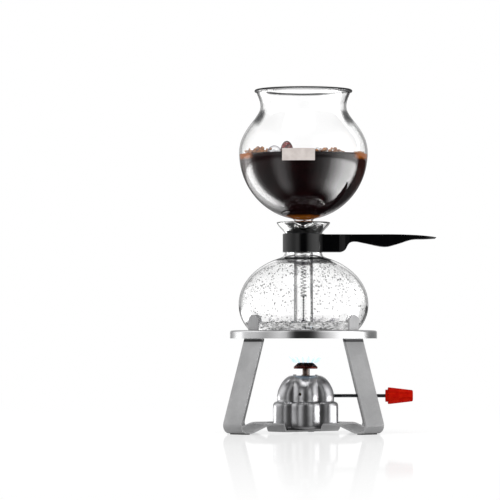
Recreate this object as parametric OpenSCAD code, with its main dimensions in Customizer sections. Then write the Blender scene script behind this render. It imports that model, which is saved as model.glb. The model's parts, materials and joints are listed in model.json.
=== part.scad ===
// Siphon coffee maker: two glass globes, a pressed steel stand and a gas burner.
// Millimetres. The floor is z = 0, and the handle and the control rod point along +X.
// The origin is the centre of the footprint's box, so the globes' shared axis stands at axis_x.

/* [Stand] */
// Height of the ring's top above the floor
stand_h = 123; // [119:1:135]
// Outer radius of the ring
ring_r = 88.5; // [87:0.5:95]
// Height of the ring's skirt
ring_h = 10; // [8:0.5:14]
// Thickness of the ring's sheet
ring_t = 1.5; // [1:0.1:1.8]
// Radius of the ring's rounded edge
ring_edge_r = 2.4; // [1.9:0.1:3]
// Thickness of the strips
strip_t = 2; // [1.5:0.1:2.2]
// Width of the strips
strip_w = 30; // [24:1:32]
// Radius at which the legs stand under the ring
leg_s = 83.6; // [82.5:0.1:84.5]
// Angle of the legs from the handle's line
leg_angle = 45; // [40:1:50]
// Distance below the ring at which the legs lean outward
leg_bend_drop = 1; // [0.5:0.1:4]
// Radius of the bend at the top of the legs
leg_bend_r = 6; // [3:0.5:10]
// Distance from the axis to the feet, before their bend
foot_s = 121.4; // [116:0.2:128]
// Radius of the bend at the feet
foot_bend_r = 8.6; // [6:0.2:10]
// Distance from the axis to the feet's heels
heel_s = 100; // [96:1:102]
// Radius of the bend at the heels
heel_bend_r = 10; // [6:1:14]
// Width of the tongues that hold the globe
tongue_w = 16; // [12:1:18]
// Height of the tongues above the ring
tongue_h = 18; // [12:1:22]
// Height of the arms' top over the floor
arm_h = 12.3; // [11:0.1:14]
// Distance from the axis at which the arms level out
arm_s = 72; // [68:1:76]
// Radius of the bend where the arms level out
arm_bend_r = 35; // [20:1:40]
// Distance from the axis to the cradle's edge
cradle_s = 47.6; // [46:0.2:50]
// Height of the cradle's floor
cradle_h = 5.8; // [5.4:0.1:6.4]
// Run of the cradle's sloping wall
cradle_run = 3.2; // [2.5:0.1:4]
// Radius of the cradle's bends
cradle_bend_r = 2.4; // [1.6:0.1:2.6]
// Thickness of the foot pads
pad_t = 1.2; // [0.8:0.1:1.6]
// Length of the foot pads
pad_l = 7; // [5:0.5:7]
// Margin of the foot pads inside the strips' edges
pad_margin = 2; // [1:0.5:4]
// Distance from the axis to the rivets
rivet_s = 9; // [8.6:0.1:9.6]
// Radius of the rivets' shanks
rivet_r = 2; // [1.5:0.1:2.4]
// Radius of the rivets' heads
rivet_head_r = 3.6; // [3:0.1:3.8]
// Height of the rivets' heads
rivet_head_h = 0.8; // [0.5:0.1:1]

/* [Lower globe] */
// Wall of both globes
glass_t = 2.2; // [1.8:0.1:2.6]
// Widest radius of the lower globe
low_r = 77.8; // [74:0.2:79]
// Depth to which the lower globe hangs in the ring
low_sink = 8; // [6:0.5:9]
// Radius of the lower globe's flat bottom
low_foot_r = 50; // [44:1:52]
// Height of the widest part over the bottom
low_mid_h = 38.4; // [36:0.2:42]
// Height of the vault over the widest part
low_vault_h = 60.2; // [56:0.2:64]
// Radius at which the vault turns up into the neck
shoulder_r = 28.6; // [27:0.2:32]
// Height of the turn into the neck
shoulder_h = 7.5; // [6:0.5:9]
// Outer radius of the neck
neck_r = 22.3; // [21.8:0.1:23.4]
// Height of the neck
neck_h = 21.5; // [20:0.5:24]
// Radius of the lip
lip_r = 32; // [30:0.5:34]
// Height of the lip
lip_h = 13.6; // [12:0.2:15]
// Depth of the pouring spout
spout_h = 5; // [3:0.5:6]
// Half width of the pouring spout
spout_w = 10; // [7:0.5:12]

/* [Collar and handle] */
// Thickness of the collar's soft liner
liner_t = 0.6; // [0.4:0.1:1]
// Thickness of the collar
collar_t = 1.9; // [1.5:0.1:2.4]
// Thickness of each of the collar's ears
ear_t = 3; // [2:0.1:3.2]
// Gap between the ears
ear_gap = 2.4; // [1.6:0.1:3]
// Reach of the ears from the axis
ear_reach = 41; // [40:0.5:42]
// Start of the handle's block from the axis
block_s = 21; // [20:0.5:22]
// End of the handle's block from the axis
block_end = 46; // [45:0.5:48]
// Half width of the handle's block
block_w = 10; // [9.5:0.1:11]
// Reach of the handle from the axis
handle_reach = 159.6; // [150:0.2:170]
// Depth of the handle's waist, under its top
waist_d = 8.6; // [7:0.2:10]
// Half width of the handle's waist
waist_w = 7.6; // [6.5:0.1:9]
// Depth of the handle's grip, under its top
grip_d = 15; // [12:0.2:17]
// Half width of the handle's grip
grip_w = 10.6; // [9:0.1:12]
// Depth of the handle's tail, under its top
tail_d = 4.4; // [3.6:0.2:6]
// Drop of the handle's tip
tip_drop = 2.4; // [1:0.2:4]
// Radius of the clamp screw
clamp_r = 2; // [1.6:0.1:2.2]
// Radius of the clamp screw's head
clamp_head_r = 3.6; // [3:0.1:4]
// Distance from the axis to the clamp screw
clamp_s = 35.5; // [35:0.1:36]

/* [Upper globe] */
// Outer radius of the siphon tube
tube_r = 11.2; // [10:0.1:11.6]
// Wall of the siphon tube
tube_t = 1.8; // [1.5:0.1:2.2]
// Length of the siphon tube
tube_l = 122; // [116:1:126]
// Radius at which the bowl turns down into the tube
root_r = 14; // [13.4:0.1:15]
// Height of the turn into the tube
root_h = 3.8; // [3:0.1:5]
// Widest radius of the upper globe
up_r = 77.2; // [72:0.2:80]
// Depth of the upper globe's lower half
up_low_h = 80.5; // [76:0.5:84]
// Height from the widest part to the waist
up_high_h = 55.5; // [50:0.5:60]
// Radius of the waist
up_waist_r = 51.5; // [48:0.5:54]
// Height of the rim over the waist
rim_h = 20.5; // [17:0.5:24]
// Radius of the rim
rim_r = 58.8; // [55:0.2:62]
// Radius of the rim's bead
bead_r = 1.9; // [1.5:0.1:2.2]

/* [Gasket] */
// Radius of the gasket's flange
gasket_r = 23.6; // [23:0.1:24.4]
// Height of the gasket's flange
gasket_h = 12.3; // [11:0.1:13]
// Height of the gasket's flange over the neck
gasket_rise = 1.8; // [1.6:0.1:2.6]
// Length of the gasket's plug
plug_l = 14; // [10:0.5:16]
// Taper of the gasket's plug
plug_taper = 1.2; // [0.8:0.1:2]

/* [Filter] */
// Radius of the filter
filter_r = 26; // [22:0.5:30]
// Thickness of the filter's plate
plate_t = 1.6; // [1.2:0.1:2]
// Thickness of the filter's mesh
mesh_t = 0.4; // [0.3:0.1:0.8]
// Thickness of the filter's clamping ring
clamp_t = 1.4; // [1:0.1:2]
// Radius of the holes in the filter's plate
hole_r = 1.3; // [1:0.1:1.4]
// Radius of the filter's centre pin
pin_r = 2.2; // [1.8:0.1:2.6]
// Radius of the filter's spring
spring_r = 3.2; // [2.6:0.1:4]
// Radius of the spring's wire
spring_wire_r = 0.45; // [0.35:0.05:0.55]
// Turns of the filter's spring
spring_turns = 22; // [14:1:24]
// Length of the filter's spring
spring_l = 94; // [88:1:95]
// Radius of the chain's beads
chain_bead_r = 1.2; // [1:0.1:1.4]
// Distance between the chain's beads
chain_pitch = 3.2; // [3:0.1:4]
// Number of the chain's beads
chain_beads = 9; // [6:1:9]
// Radius of the weight at the chain's end
weight_r = 3; // [2.5:0.1:3.6]

/* [Burner] */
// Distance that the burner stands off the globes' axis
burner_x = 2.5; // [0:0.5:3]
// Number of lobes
lobes = 6; // [6]
// Distance from the burner's axis to the tank's lobes
tank_lobe_s = 22.8; // [22:0.1:23.2]
// Radius of the tank's lobes
tank_lobe_r = 19.2; // [18.6:0.1:19.4]
// Height of the tank
tank_h = 31.5; // [29:0.5:33]
// Wall of the tank
tank_t = 1.2; // [1:0.1:1.4]
// Radius of the tank's shoulders
tank_edge_r = 5; // [3:0.5:5]
// Radius of the tank's foot edge
tank_foot_r = 2.4; // [1.6:0.1:3]
// Depth of the hollow under the tank
hollow_h = 2; // [1.6:0.1:2.4]
// Radius of the hollow under the tank
hollow_r = 16; // [14:0.5:18]
// Radius of the tank's mouth
mouth_r = 25.5; // [24:0.5:26]
// Distance from the burner's axis to the dome's lobes
dome_lobe_s = 20; // [19.6:0.1:20.4]
// Radius of the dome's lobes
dome_lobe_r = 16.7; // [16.4:0.1:17]
// Height of the dome
dome_h = 30.9; // [29:0.1:33]
// Wall of the dome
dome_t = 1; // [0.8:0.1:1.2]
// Radius of the dome's flat top
dome_top_r = 19; // [19:0.1:20]
// Height up to which the dome's wall stands upright
dome_wall_h = 6; // [4:0.5:9]
// Height of the peep hole over the dome's foot
peep_h = 9; // [7:0.5:12]
// Distance of the peep hole off the dome's middle
peep_x = 6.7; // [5:0.1:8]
// Radius of the peep hole
peep_r = 1.8; // [1.2:0.1:2.4]
// Thickness of the tank's seal
seal_t = 0.8; // [0.6:0.1:1.2]
// Thickness of the tank's lid
lid_t = 2; // [1.6:0.1:2.4]
// Radius of the tank's lid
lid_r = 28.6; // [27.6:0.1:28.8]
// Distance from the burner's axis to the dome's posts
post_s = 15.2; // [14.6:0.1:15.2]
// Angle of the dome's posts
post_angle = 150; // [140:1:155]
// Radius of the dome's posts
post_r = 2.2; // [2:0.1:2.6]
// Radius of the dome's screw heads
dome_screw_r = 2; // [1.8:0.1:2.4]
// Radius of the burner's neck
neck_tube_r = 3.7; // [3.3:0.1:4]
// Wall of the burner's neck
neck_tube_t = 0.9; // [0.7:0.1:1.1]
// Height of the neck over the dome
neck_tube_h = 8.2; // [7:0.2:10]
// Radius of the burner's cap
cap_r = 14.3; // [12:0.1:16]
// Radius of the cap's flat top
cap_top_r = 8.9; // [7:0.1:10]
// Height of the cap
cap_h = 7.3; // [6:0.1:9]
// Height of the cap's brim
brim_h = 2.2; // [1.6:0.1:3]
// Wall of the cap
cap_t = 1.3; // [1:0.1:1.5]
// Number of slots round the cap
cap_slots = 20; // [12:1:24]
// Width of the cap's slots
cap_slot_w = 1; // [0.6:0.1:1.4]
// Radius of the clip's wire
clip_wire_r = 0.45; // [0.35:0.05:0.6]

/* [Gas parts] */
// Height of the control rod over the tank's top
rod_rise = 6.8; // [6.8:0.1:7.4]
// Half width of the valve's body
valve_w = 5.6; // [5.4:0.1:6]
// Height of the valve's body
valve_h = 9; // [8.6:0.1:10]
// Length of the valve's body
valve_l = 13; // [12:0.5:14]
// Radius of the gas jet
jet_r = 2.6; // [2.2:0.1:2.7]
// Height of the gas jet
jet_h = 5; // [4:0.5:6]
// Radius across the gland nut's corners
gland_r = 4.4; // [4.2:0.1:4.5]
// Length of the gland nut
gland_l = 6; // [5:0.5:7]
// Radius of the pickup tube
pickup_r = 1.6; // [1.4:0.1:1.8]
// Length of the pickup tube
pickup_l = 15; // [12:0.5:15]
// Radius of the pickup tube's wick
wick_r = 3.2; // [2.6:0.1:3.6]
// Radius of the filler valve's body
filler_r = 4.2; // [4.1:0.1:4.4]
// Height of the filler valve's body
filler_h = 14.4; // [13.8:0.2:15]
// Radius of the filler valve's pin
filler_pin_r = 1.42; // [1.2:0.02:1.5]
// Travel of the filler valve's pin
filler_travel = 1.5; // [1:0.1:1.6]
// Radius of the filler valve's chamber
filler_bore_r = 3; // [2.8:0.1:3.1]

/* [Rod and knob] */
// Radius of the control rod
rod_r = 2; // [1.7:0.1:2.2]
// Length of the needle's point
needle_l = 4; // [3:0.5:5]
// Distance from the burner's axis to the knob
knob_s = 95.5; // [92:0.5:100]
// Length of the knob
knob_l = 33; // [28:0.5:34]
// Radius of the knob's wide end
knob_r = 10.1; // [9:0.1:11]
// Radius of the knob's narrow end
knob_tip_r = 6.6; // [5.5:0.1:7.5]
// Length of the knob's collar
knob_collar_l = 3; // [2.8:0.1:4.2]
// Number of flutes round the knob
flutes = 8; // [6:1:12]
// Radius of the knob's flutes
flute_r = 2.2; // [1.5:0.1:2.6]
// Radius of the knob's grub screw
grub_r = 1.1; // [0.9:0.1:1.3]

/* [Fits] */
// Gap where one piece rests on or in another that lifts away
seat_gap = 0.3; // [0.2:0.05:0.4]
// Clearance round pieces that are fastened together
fit_gap = 0.1; // [0.05:0.05:0.15]
// Clearance round the rod and the filler pin, which turn or slide
running_gap = 0.06; // [0.04:0.01:0.08]
// Clearance round the tongues in the ring's slots
slot_play = 0.3; // [0.2:0.05:0.4]

/* [Hidden] */
$fn = 48;
steps = 8;

// Stand levels
plate_low_z = cradle_h - 1.5 * strip_t;
plate_high_z = cradle_h - 0.5 * strip_t;
ring_low_z = stand_h - ring_h;
leg_bend_z = ring_low_z - leg_bend_drop;

// The feet's bend and where it reaches farthest out
foot_z = pad_t + strip_t / 2;
foot_turn = atan2(leg_bend_z - foot_z, foot_s - leg_s);
foot_centre_s = foot_s - foot_bend_r / tan(foot_turn / 2);
foot_reach = foot_centre_s + foot_bend_r + strip_t / 2;
heel_turn = atan2(arm_h - strip_t / 2 - foot_z, heel_s - arm_s);
pad_s = foot_centre_s - pad_l / 2;
foot_x = foot_reach * cos(leg_angle) + strip_w / 2 * sin(leg_angle);
axis_x = (foot_x - handle_reach) / 2;

// Lower globe levels
low_z = stand_h - low_sink;
low_mid_z = low_z + low_mid_h;
vault_turn = acos(shoulder_r / low_r);
shoulder_z = low_mid_z + low_vault_h * sin(vault_turn);
neck_z = shoulder_z + shoulder_h;
neck_top_z = neck_z + neck_h;
lip_z = neck_top_z + lip_h;

// Collar and handle levels
liner_r = neck_r + fit_gap + liner_t;
collar_r = liner_r + fit_gap + collar_t;
collar_z = neck_z - 0.4;
collar_h = neck_h + 0.3;
handle_top_z = collar_z + collar_h - 0.6;
clamp_z = collar_z + collar_h / 2;
ear_h = collar_h - 5;
clamp_nut_h = 2.6;
clamp_head_h = 2.6;

// Upper globe levels
gasket_z = neck_top_z + gasket_rise;
gasket_top_z = gasket_z + gasket_h;
tube_top_z = gasket_top_z + 0.5;
root_turn = acos(root_r / up_r);
up_mid_z = tube_top_z + root_h + up_low_h * sin(root_turn);
up_waist_z = up_mid_z + up_high_h;
rim_z = up_waist_z + rim_h;
plug_r = neck_r - glass_t - seat_gap;

// Burner levels
tank_z = cradle_h + seat_gap;
tank_top_z = tank_z + tank_h;
lid_z = tank_top_z + seal_t;
lid_top_z = lid_z + lid_t;
dome_top_z = tank_top_z + dome_h;
rod_z = tank_top_z + rod_rise;
cap_z = dome_top_z + neck_tube_h;
jet_z = lid_top_z + valve_h;
needle_x = 2.4;
packing_l = 1.6;
packing_r = 3.4;
gland_x = valve_l / 2 - 1.4;
filler_z = tank_z + 0.5;
filler_floor_z = filler_z + 3.4;
filler_seal_t = 0.8;
filler_flange_z = filler_floor_z + filler_seal_t + seat_gap;
filler_flange_t = 1.5;

// ---- Paths and profiles ----

function unit(v) = v / norm(v);
function left_of(v) = [-v.y, v.x];
function reversed(p) = [for (i = [len(p) - 1 : -1 : 0]) p[i]];
function arc(centre, r, from, sweep) = [for (k = [0 : steps]) let (a = from + sweep * k / steps)
    centre + r * [cos(a), sin(a)]];
function ellipse(centre, rx, ry, from, to) = [for (k = [0 : 2 * steps])
    let (a = from + (to - from) * k / (2 * steps)) centre + [rx * cos(a), ry * sin(a)]];
function bezier(a, b, c, d) = [for (k = [0 : steps]) let (t = k / steps, s = 1 - t)
    s ^ 3 * a + 3 * s ^ 2 * t * b + 3 * s * t ^ 2 * c + t ^ 3 * d];

// A smooth curve through every point of a list
function knot(p, i) = p[min(max(i, 0), len(p) - 1)];
function spline(p) = [for (i = [0 : len(p) - 2], k = [0 : 3]) let (t = k / 4, a = knot(p, i - 1),
    b = p[i], c = p[i + 1], d = knot(p, i + 2))
    0.5 * (2 * b + t * (c - a) + t ^ 2 * (2 * a - 5 * b + 4 * c - d) + t ^ 3 * (3 * b - a - 3 * c + d)),
    p[len(p) - 1]];

// Leaves out points that repeat the one before them
function distinct(p) = [for (i = [0 : len(p) - 1]) if (i == 0 || norm(p[i] - p[i - 1]) > 0.02) p[i]];

// Moves a path sideways, to its left for a positive distance
function shifted(p, d) = [for (i = [0 : len(p) - 1])
    let (n = len(p) - 1, u = left_of(unit(p[min(i + 1, n)] - p[min(i, n - 1)])),
        v = left_of(unit(p[max(i, 1)] - p[max(i - 1, 0)])), m = unit(u + v))
    p[i] + m * d / (m * u)];

// Rounds the corners of a path whose points are [x, y, bend radius]
function corner(a, b, c, r) =
    let (u = unit(a - b), v = unit(c - b), half = acos(u * v) / 2,
        centre = b + unit(u + v) * r / sin(half), p = b + u * r / tan(half) - centre,
        q = b + v * r / tan(half) - centre, from = atan2(p.y, p.x), turn = atan2(q.y, q.x) - from)
    arc(centre, r, from, turn > 180 ? turn - 360 : turn < -180 ? turn + 360 : turn);
function flat(p) = [p.x, p.y];
function rounded(p) = [for (i = [0 : len(p) - 1])
    each i == 0 || i == len(p) - 1 ? [flat(p[i])]
        : corner(flat(p[i - 1]), flat(p[i]), flat(p[i + 1]), p[i].z)];

// The outline of a sheet of one thickness along a path, or of a glass wall inside its outer face
function sheet(p, t) = concat(shifted(p, t / 2), reversed(shifted(p, -t / 2)));
function wall(p, t) = concat(p, reversed(shifted(p, t)));

// ---- Placing ----

// Everything on the globes' axis is drawn here
module on_axis() { translate([axis_x, 0, 0]) children(); }
module on_burner() { translate([axis_x + burner_x, 0, 0]) children(); }
module round_to(n) { for (i = [0 : n - 1]) rotate(360 * i / n) children(); }
module at_legs() { for (a = [leg_angle, 180 - leg_angle, 180 + leg_angle, -leg_angle]) rotate(a) children(); }
module disc(r, z, h, bore = 0) {
    translate([0, 0, z]) difference() {
        cylinder(r = r, h = h);
        if (bore > 0) translate([0, 0, -1]) cylinder(r = bore, h = h + 2);
    }
}
// A round bar or bore along +X at the control rod's height
module along_x(r, x, l) { translate([x, 0, rod_z]) rotate([0, 90, 0]) cylinder(r = r, h = l); }
// A coil of wire standing on z = 0
module coil(r, wire_r, l, turns) {
    sides = 6;
    ring = 14;
    n = round(turns * ring);
    pts = [for (i = [0 : n], k = [0 : sides - 1]) let (a = 360 * i / ring, b = 360 * k / sides,
        reach = r + wire_r * cos(b)) [reach * cos(a), reach * sin(a),
        wire_r + (l - 2 * wire_r) * i / n + wire_r * sin(b)]];
    skin = [for (i = [0 : n - 1], k = [0 : sides - 1]) let (j = (k + 1) % sides)
        [i * sides + k, i * sides + j, (i + 1) * sides + j, (i + 1) * sides + k]];
    polyhedron(pts, concat(skin, [[for (k = [sides - 1 : -1 : 0]) k]],
        [[for (k = [0 : sides - 1]) n * sides + k]]));
}

// ---- Stand ----

module tongue_outline(play) {
    square([tongue_w + 2 * play, strip_t + 2 * play], center = true);
}
module stand_ring() {
    inner = ring_hole_r();
    outline = concat([[inner, stand_h], [inner, stand_h - ring_t]],
        arc([ring_r - ring_edge_r, stand_h - ring_edge_r], ring_edge_r - ring_t, 90, -90),
        [[ring_r - ring_t, ring_low_z], [ring_r, ring_low_z]],
        arc([ring_r - ring_edge_r, stand_h - ring_edge_r], ring_edge_r, 0, 90));
    color("silver") on_axis() difference() {
        rotate_extrude() polygon(distinct(outline));
        at_legs() translate([leg_s, 0, stand_h - ring_t - 1]) linear_extrude(ring_t + 2)
            rotate(90) tongue_outline(slot_play);
    }
}

// Half of a strip's path, from under the ring to the middle of the cradle
function half_strip(plate_z) = [
    [leg_s, stand_h - ring_t, 0], [leg_s, leg_bend_z, leg_bend_r], [foot_s, foot_z, foot_bend_r],
    [heel_s, foot_z, heel_bend_r], [arm_s, arm_h - strip_t / 2, arm_bend_r],
    [cradle_s, arm_h - strip_t / 2, cradle_bend_r], [cradle_s - cradle_run, plate_z, cradle_bend_r],
    [0, plate_z, 0]];
module strip(plate_z, angle) {
    half = rounded(half_strip(plate_z));
    other = [for (p = reversed(half)) [-p.x, p.y]];
    path = concat(half, [for (i = [1 : len(other) - 1]) other[i]]);
    color("silver") on_axis() rotate(angle) difference() {
        union() {
            rotate([90, 0, 0]) linear_extrude(strip_w, center = true) polygon(sheet(distinct(path), strip_t));
            for (side = [-1, 1]) translate([side * leg_s, 0, 0]) rotate([90, 0, 90])
                linear_extrude(strip_t, center = true) tongue();
        }
        rotate(-angle) rivets(rivet_r + fit_gap, -1, cradle_h + 2);
    }
}
module tongue() {
    low = stand_h - ring_t - 1;
    top = stand_h + tongue_h - tongue_w / 2;
    translate([-tongue_w / 2, low]) square([tongue_w, top - low]);
    translate([0, top]) circle(r = tongue_w / 2);
}
module lower_strip() { strip(plate_low_z, leg_angle); }
module upper_strip() { strip(plate_high_z, -leg_angle); }

module rivets(r, z, h) { for (side = [-1, 1]) translate([side * rivet_s, 0, z]) cylinder(r = r, h = h); }
module cross_rivets() {
    plates = 2 * strip_t;
    color("gainsboro") on_axis() {
        rivets(rivet_r, cradle_h - plates - rivet_head_h, plates + 2 * rivet_head_h);
        rivets(rivet_head_r, cradle_h - plates - rivet_head_h, rivet_head_h);
        rivets(rivet_head_r, cradle_h, rivet_head_h);
    }
}
module foot_pads() {
    w = strip_w - 2 * pad_margin;
    color("dimgray") on_axis() at_legs() translate([pad_s - pad_l / 2, -w / 2, 0]) cube([pad_l, w, pad_t]);
}

// ---- Lower globe ----

function low_belly() = let (drop = low_r - low_foot_r)
    bezier([low_foot_r, low_z], [low_foot_r + 0.35 * drop, low_z],
        [low_r, low_mid_z - 0.6 * low_mid_h], [low_r, low_mid_z]);
function low_profile() = distinct(concat([[0, low_z]], low_belly(),
    ellipse([0, low_mid_z], low_r, low_vault_h, 0, vault_turn),
    bezier([shoulder_r, shoulder_z], [shoulder_r - 5.2, shoulder_z + 1.8], [neck_r, neck_z - 3.4],
        [neck_r, neck_z]),
    bezier([neck_r, neck_top_z], [neck_r, neck_top_z + 0.25 * lip_h],
        [lip_r - 1.5, neck_top_z + 0.6 * lip_h], [lip_r, lip_z])));
// The globe's outer radius at a height below its widest part
function low_r_at(z) = lookup(z, [for (p = low_belly()) [p.y, p.x]]);
// The bore of the neck and its flared lip at a height
function lip_bore_at(z) = lookup(z, [for (p = shifted(low_profile(), glass_t)) if (p.y > neck_z) [p.y, p.x]]);
function ring_hole_r() = low_r_at(stand_h) + seat_gap + 0.1;

module lower_globe() {
    color("lightcyan", 0.4) on_axis() difference() {
        rotate_extrude() polygon(wall(low_profile(), glass_t));
        translate([0, 0, lip_z + spout_w - spout_h]) rotate([90, 0, 0]) cylinder(r = spout_w, h = lip_r + 5);
    }
}

// ---- Collar and handle ----

module neck_liner() {
    color("dimgray") on_axis() disc(liner_r, collar_z, collar_h, neck_r + fit_gap);
}
module collar_band() {
    ear_w = ear_t + ear_gap / 2;
    bore = liner_r + fit_gap;
    color("black") on_axis() difference() {
        union() {
            disc(collar_r, collar_z, collar_h);
            translate([bore, -ear_w, clamp_z - ear_h / 2]) cube([ear_reach - bore, 2 * ear_w, ear_h]);
        }
        disc(bore, collar_z - 1, collar_h + 2);
        translate([0, -ear_gap / 2, collar_z - 1]) cube([ear_reach + 1, ear_gap, collar_h + 2]);
        clamp_bore(clamp_r + fit_gap, -ear_w - 1, 2 * ear_w + 2);
    }
}
module clamp_bore(r, y, l, sides = 0) {
    translate([clamp_s, y, clamp_z]) rotate([-90, 0, 0]) cylinder(r = r, h = l, $fn = sides ? sides : $fn);
}
// The handle's side outline: a block at the collar, a waist, a grip and a thin tail
module handle_side() {
    top = handle_top_z;
    grip_s = (block_end + handle_reach) / 2 - 6;
    waist_s = block_end + 16;
    tail_s = handle_reach - 30;
    under = spline([[block_end - 1.5, collar_z], [block_end + 4, collar_z + 2.6],
        [block_end + 8.8, top - waist_d - 2], [waist_s, top - waist_d], [waist_s + 13, top - waist_d - 2.4],
        [grip_s, top - grip_d], [grip_s + 16, top - grip_d + 3.4], [tail_s, top - tail_d - 2],
        [handle_reach - 15, top - tail_d - 1.4], [handle_reach - 2, top - tip_drop - 2.8]]);
    over = bezier([handle_reach, top - tip_drop - 1], [handle_reach - 12, top - tip_drop + 0.8],
        [tail_s, top], [grip_s, top]);
    polygon(concat([[block_s, collar_z]], under, over, [[block_s, top]]));
}
// The handle's plan, the same on both sides
module handle_plan() {
    waist_s = block_end + 16;
    grip_s = (block_end + handle_reach) / 2;
    side = concat([[block_s, block_w]], spline([[block_end - 3, block_w], [waist_s, waist_w],
        [grip_s, grip_w], [handle_reach - 18, grip_w - 1.4], [handle_reach - 5, grip_w - 4.4],
        [handle_reach, 0]]));
    other = [for (i = [len(side) - 2 : -1 : 0]) [side[i].x, -side[i].y]];
    polygon(concat(side, other));
}
module handle() {
    slot = ear_t + ear_gap / 2 + fit_gap;
    tall = handle_top_z + 10;
    color([0.08, 0.08, 0.08]) on_axis() difference() {
        intersection() {
            rotate([90, 0, 0]) linear_extrude(4 * block_w, center = true) handle_side();
            linear_extrude(tall) handle_plan();
        }
        translate([block_s - 1, -slot, clamp_z - ear_h / 2 - fit_gap])
            cube([ear_reach - block_s + 1 + fit_gap, 2 * slot, ear_h + 2 * fit_gap]);
        clamp_bore(clamp_r + fit_gap, -slot - clamp_nut_h, block_w + slot + clamp_nut_h + 1);
        clamp_bore(clamp_head_r + fit_gap, block_w - clamp_head_h, clamp_head_h + 1);
        clamp_bore(clamp_head_r + fit_gap, -slot - clamp_nut_h, clamp_nut_h + 1, 6);
        disc(collar_r + fit_gap, collar_z - 1, collar_h + 2);
    }
}
module clamp_screw() {
    slot = ear_t + ear_gap / 2;
    color("silver") on_axis() difference() {
        union() {
            clamp_bore(clamp_r, -slot - clamp_nut_h, block_w + slot);
            clamp_bore(clamp_head_r, block_w - clamp_head_h, clamp_head_h);
        }
        clamp_bore(clamp_r * 0.7, block_w - 1.4, 2, 6);
    }
}
module clamp_nut() {
    slot = ear_t + ear_gap / 2;
    color("silver") on_axis() difference() {
        clamp_bore(clamp_head_r, -slot - clamp_nut_h, clamp_nut_h, 6);
        clamp_bore(clamp_r, -slot - clamp_nut_h - 1, clamp_nut_h + 2);
    }
}

// ---- Upper globe ----

function up_profile() = distinct(concat(
    bezier([tube_r, tube_top_z], [tube_r, tube_top_z + 0.6 * root_h], [root_r - 1.6, tube_top_z + 0.9 * root_h],
        [root_r, tube_top_z + root_h]),
    ellipse([0, up_mid_z], up_r, up_low_h, -root_turn, 0),
    bezier([up_r, up_mid_z], [up_r, up_mid_z + 0.5 * up_high_h], [up_waist_r, up_waist_z - 0.25 * up_high_h],
        [up_waist_r, up_waist_z]),
    bezier([up_waist_r, up_waist_z], [up_waist_r, up_waist_z + 0.35 * rim_h],
        [rim_r - 3.4, rim_z - 0.35 * rim_h], [rim_r - bead_r, rim_z - bead_r])));
// The height at which the inside of the bowl has a radius, in its lower half
function bowl_z_at(r) = lookup(r, [for (p = shifted(up_profile(), glass_t)) if (p.y < up_mid_z - 10) p]);

module upper_globe() {
    color("lightcyan", 0.4) on_axis() {
        rotate_extrude() polygon(wall(up_profile(), glass_t));
        translate([0, 0, rim_z - bead_r]) rotate_extrude()
            translate([rim_r - bead_r, 0]) circle(r = bead_r, $fn = 24);
    }
}
module siphon_tube() {
    color("lightcyan", 0.4) on_axis() disc(tube_r, tube_top_z - tube_l, tube_l, tube_r - tube_t);
}
module funnel_gasket() {
    round_r = 4;
    rest_h = 5;
    outline = concat([[tube_r + fit_gap, gasket_z - plug_l], [plug_r - plug_taper, gasket_z - plug_l],
        [plug_r, gasket_z - gasket_rise]],
        [for (i = [1 : 6]) let (z = gasket_z - gasket_rise + i * (rest_h + gasket_rise) / 6)
            [min(gasket_r, lip_bore_at(z) - seat_gap), z]],
        arc([gasket_r - round_r, gasket_top_z - round_r], round_r, 0, 90),
        [[tube_r + fit_gap, gasket_top_z]]);
    color([0.2, 0.2, 0.22]) on_axis() rotate_extrude() polygon(outline);
}

// ---- Filter ----

filter_z = bowl_z_at(filter_r + seat_gap);
mesh_z = filter_z + plate_t;
clamp_ring_z = mesh_z + mesh_t;
pin_top_z = clamp_ring_z + clamp_t + 3;
spring_top_z = filter_z - 3.4;
spring_z = spring_top_z - spring_l;
chain_top_z = spring_z - chain_bead_r;
weight_z = chain_top_z - (chain_beads - 1) * chain_pitch - weight_r - chain_bead_r;

// Rings of holes in the filter's plate
module sieve() {
    for (row = [1 : 3]) let (s = pin_r + 2.6 + row * (filter_r - pin_r - 5.5) / 3.4) round_to(6 * row)
        translate([s, 0, filter_z - 1]) cylinder(r = hole_r, h = plate_t + 2);
}
module filter_plate() {
    color("whitesmoke") on_axis() difference() {
        disc(filter_r, filter_z, plate_t, pin_r + fit_gap);
        sieve();
    }
}
module filter_mesh() { color("white") on_axis() disc(filter_r - 1, mesh_z, mesh_t, pin_r + fit_gap); }
module filter_ring() {
    hub_r = pin_r + 2.4;
    rib = 2.4;
    color("whitesmoke") on_axis() {
        disc(filter_r - 1, clamp_ring_z, clamp_t, filter_r - 4);
        disc(hub_r, clamp_ring_z, clamp_t, pin_r + fit_gap);
        for (a = [0 : 60 : 300]) rotate(a)
            translate([hub_r - 0.4, -rib / 2, clamp_ring_z]) cube([filter_r - 4.6 - hub_r + 1.4, rib, clamp_t]);
    }
}
module filter_pin() {
    color("silver") on_axis() {
        disc(pin_r, filter_z - 2, pin_top_z - 1 - filter_z + 2);
        disc(pin_r + 1.6, clamp_ring_z + clamp_t, pin_top_z - clamp_ring_z - clamp_t);
        disc(spring_r + spring_wire_r, spring_top_z, filter_z - spring_top_z);
    }
}
module filter_spring() {
    color("silver") on_axis() translate([0, 0, spring_z]) coil(spring_r, spring_wire_r, spring_l, spring_turns);
}
module filter_chain() {
    hook_t = 1;
    color("gainsboro") on_axis() {
        disc(spring_r + spring_wire_r, spring_z - hook_t, hook_t);
        for (i = [0 : chain_beads - 1]) translate([0, 0, chain_top_z - hook_t - i * chain_pitch])
            sphere(r = chain_bead_r);
        disc(chain_bead_r / 3, chain_top_z - hook_t - (chain_beads - 1) * chain_pitch,
            (chain_beads - 1) * chain_pitch + chain_bead_r);
    }
}
module chain_weight() {
    hook_t = 1;
    color("gray") on_axis() translate([0, 0, weight_z - hook_t]) sphere(r = weight_r);
}

// ---- Burner ----

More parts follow.
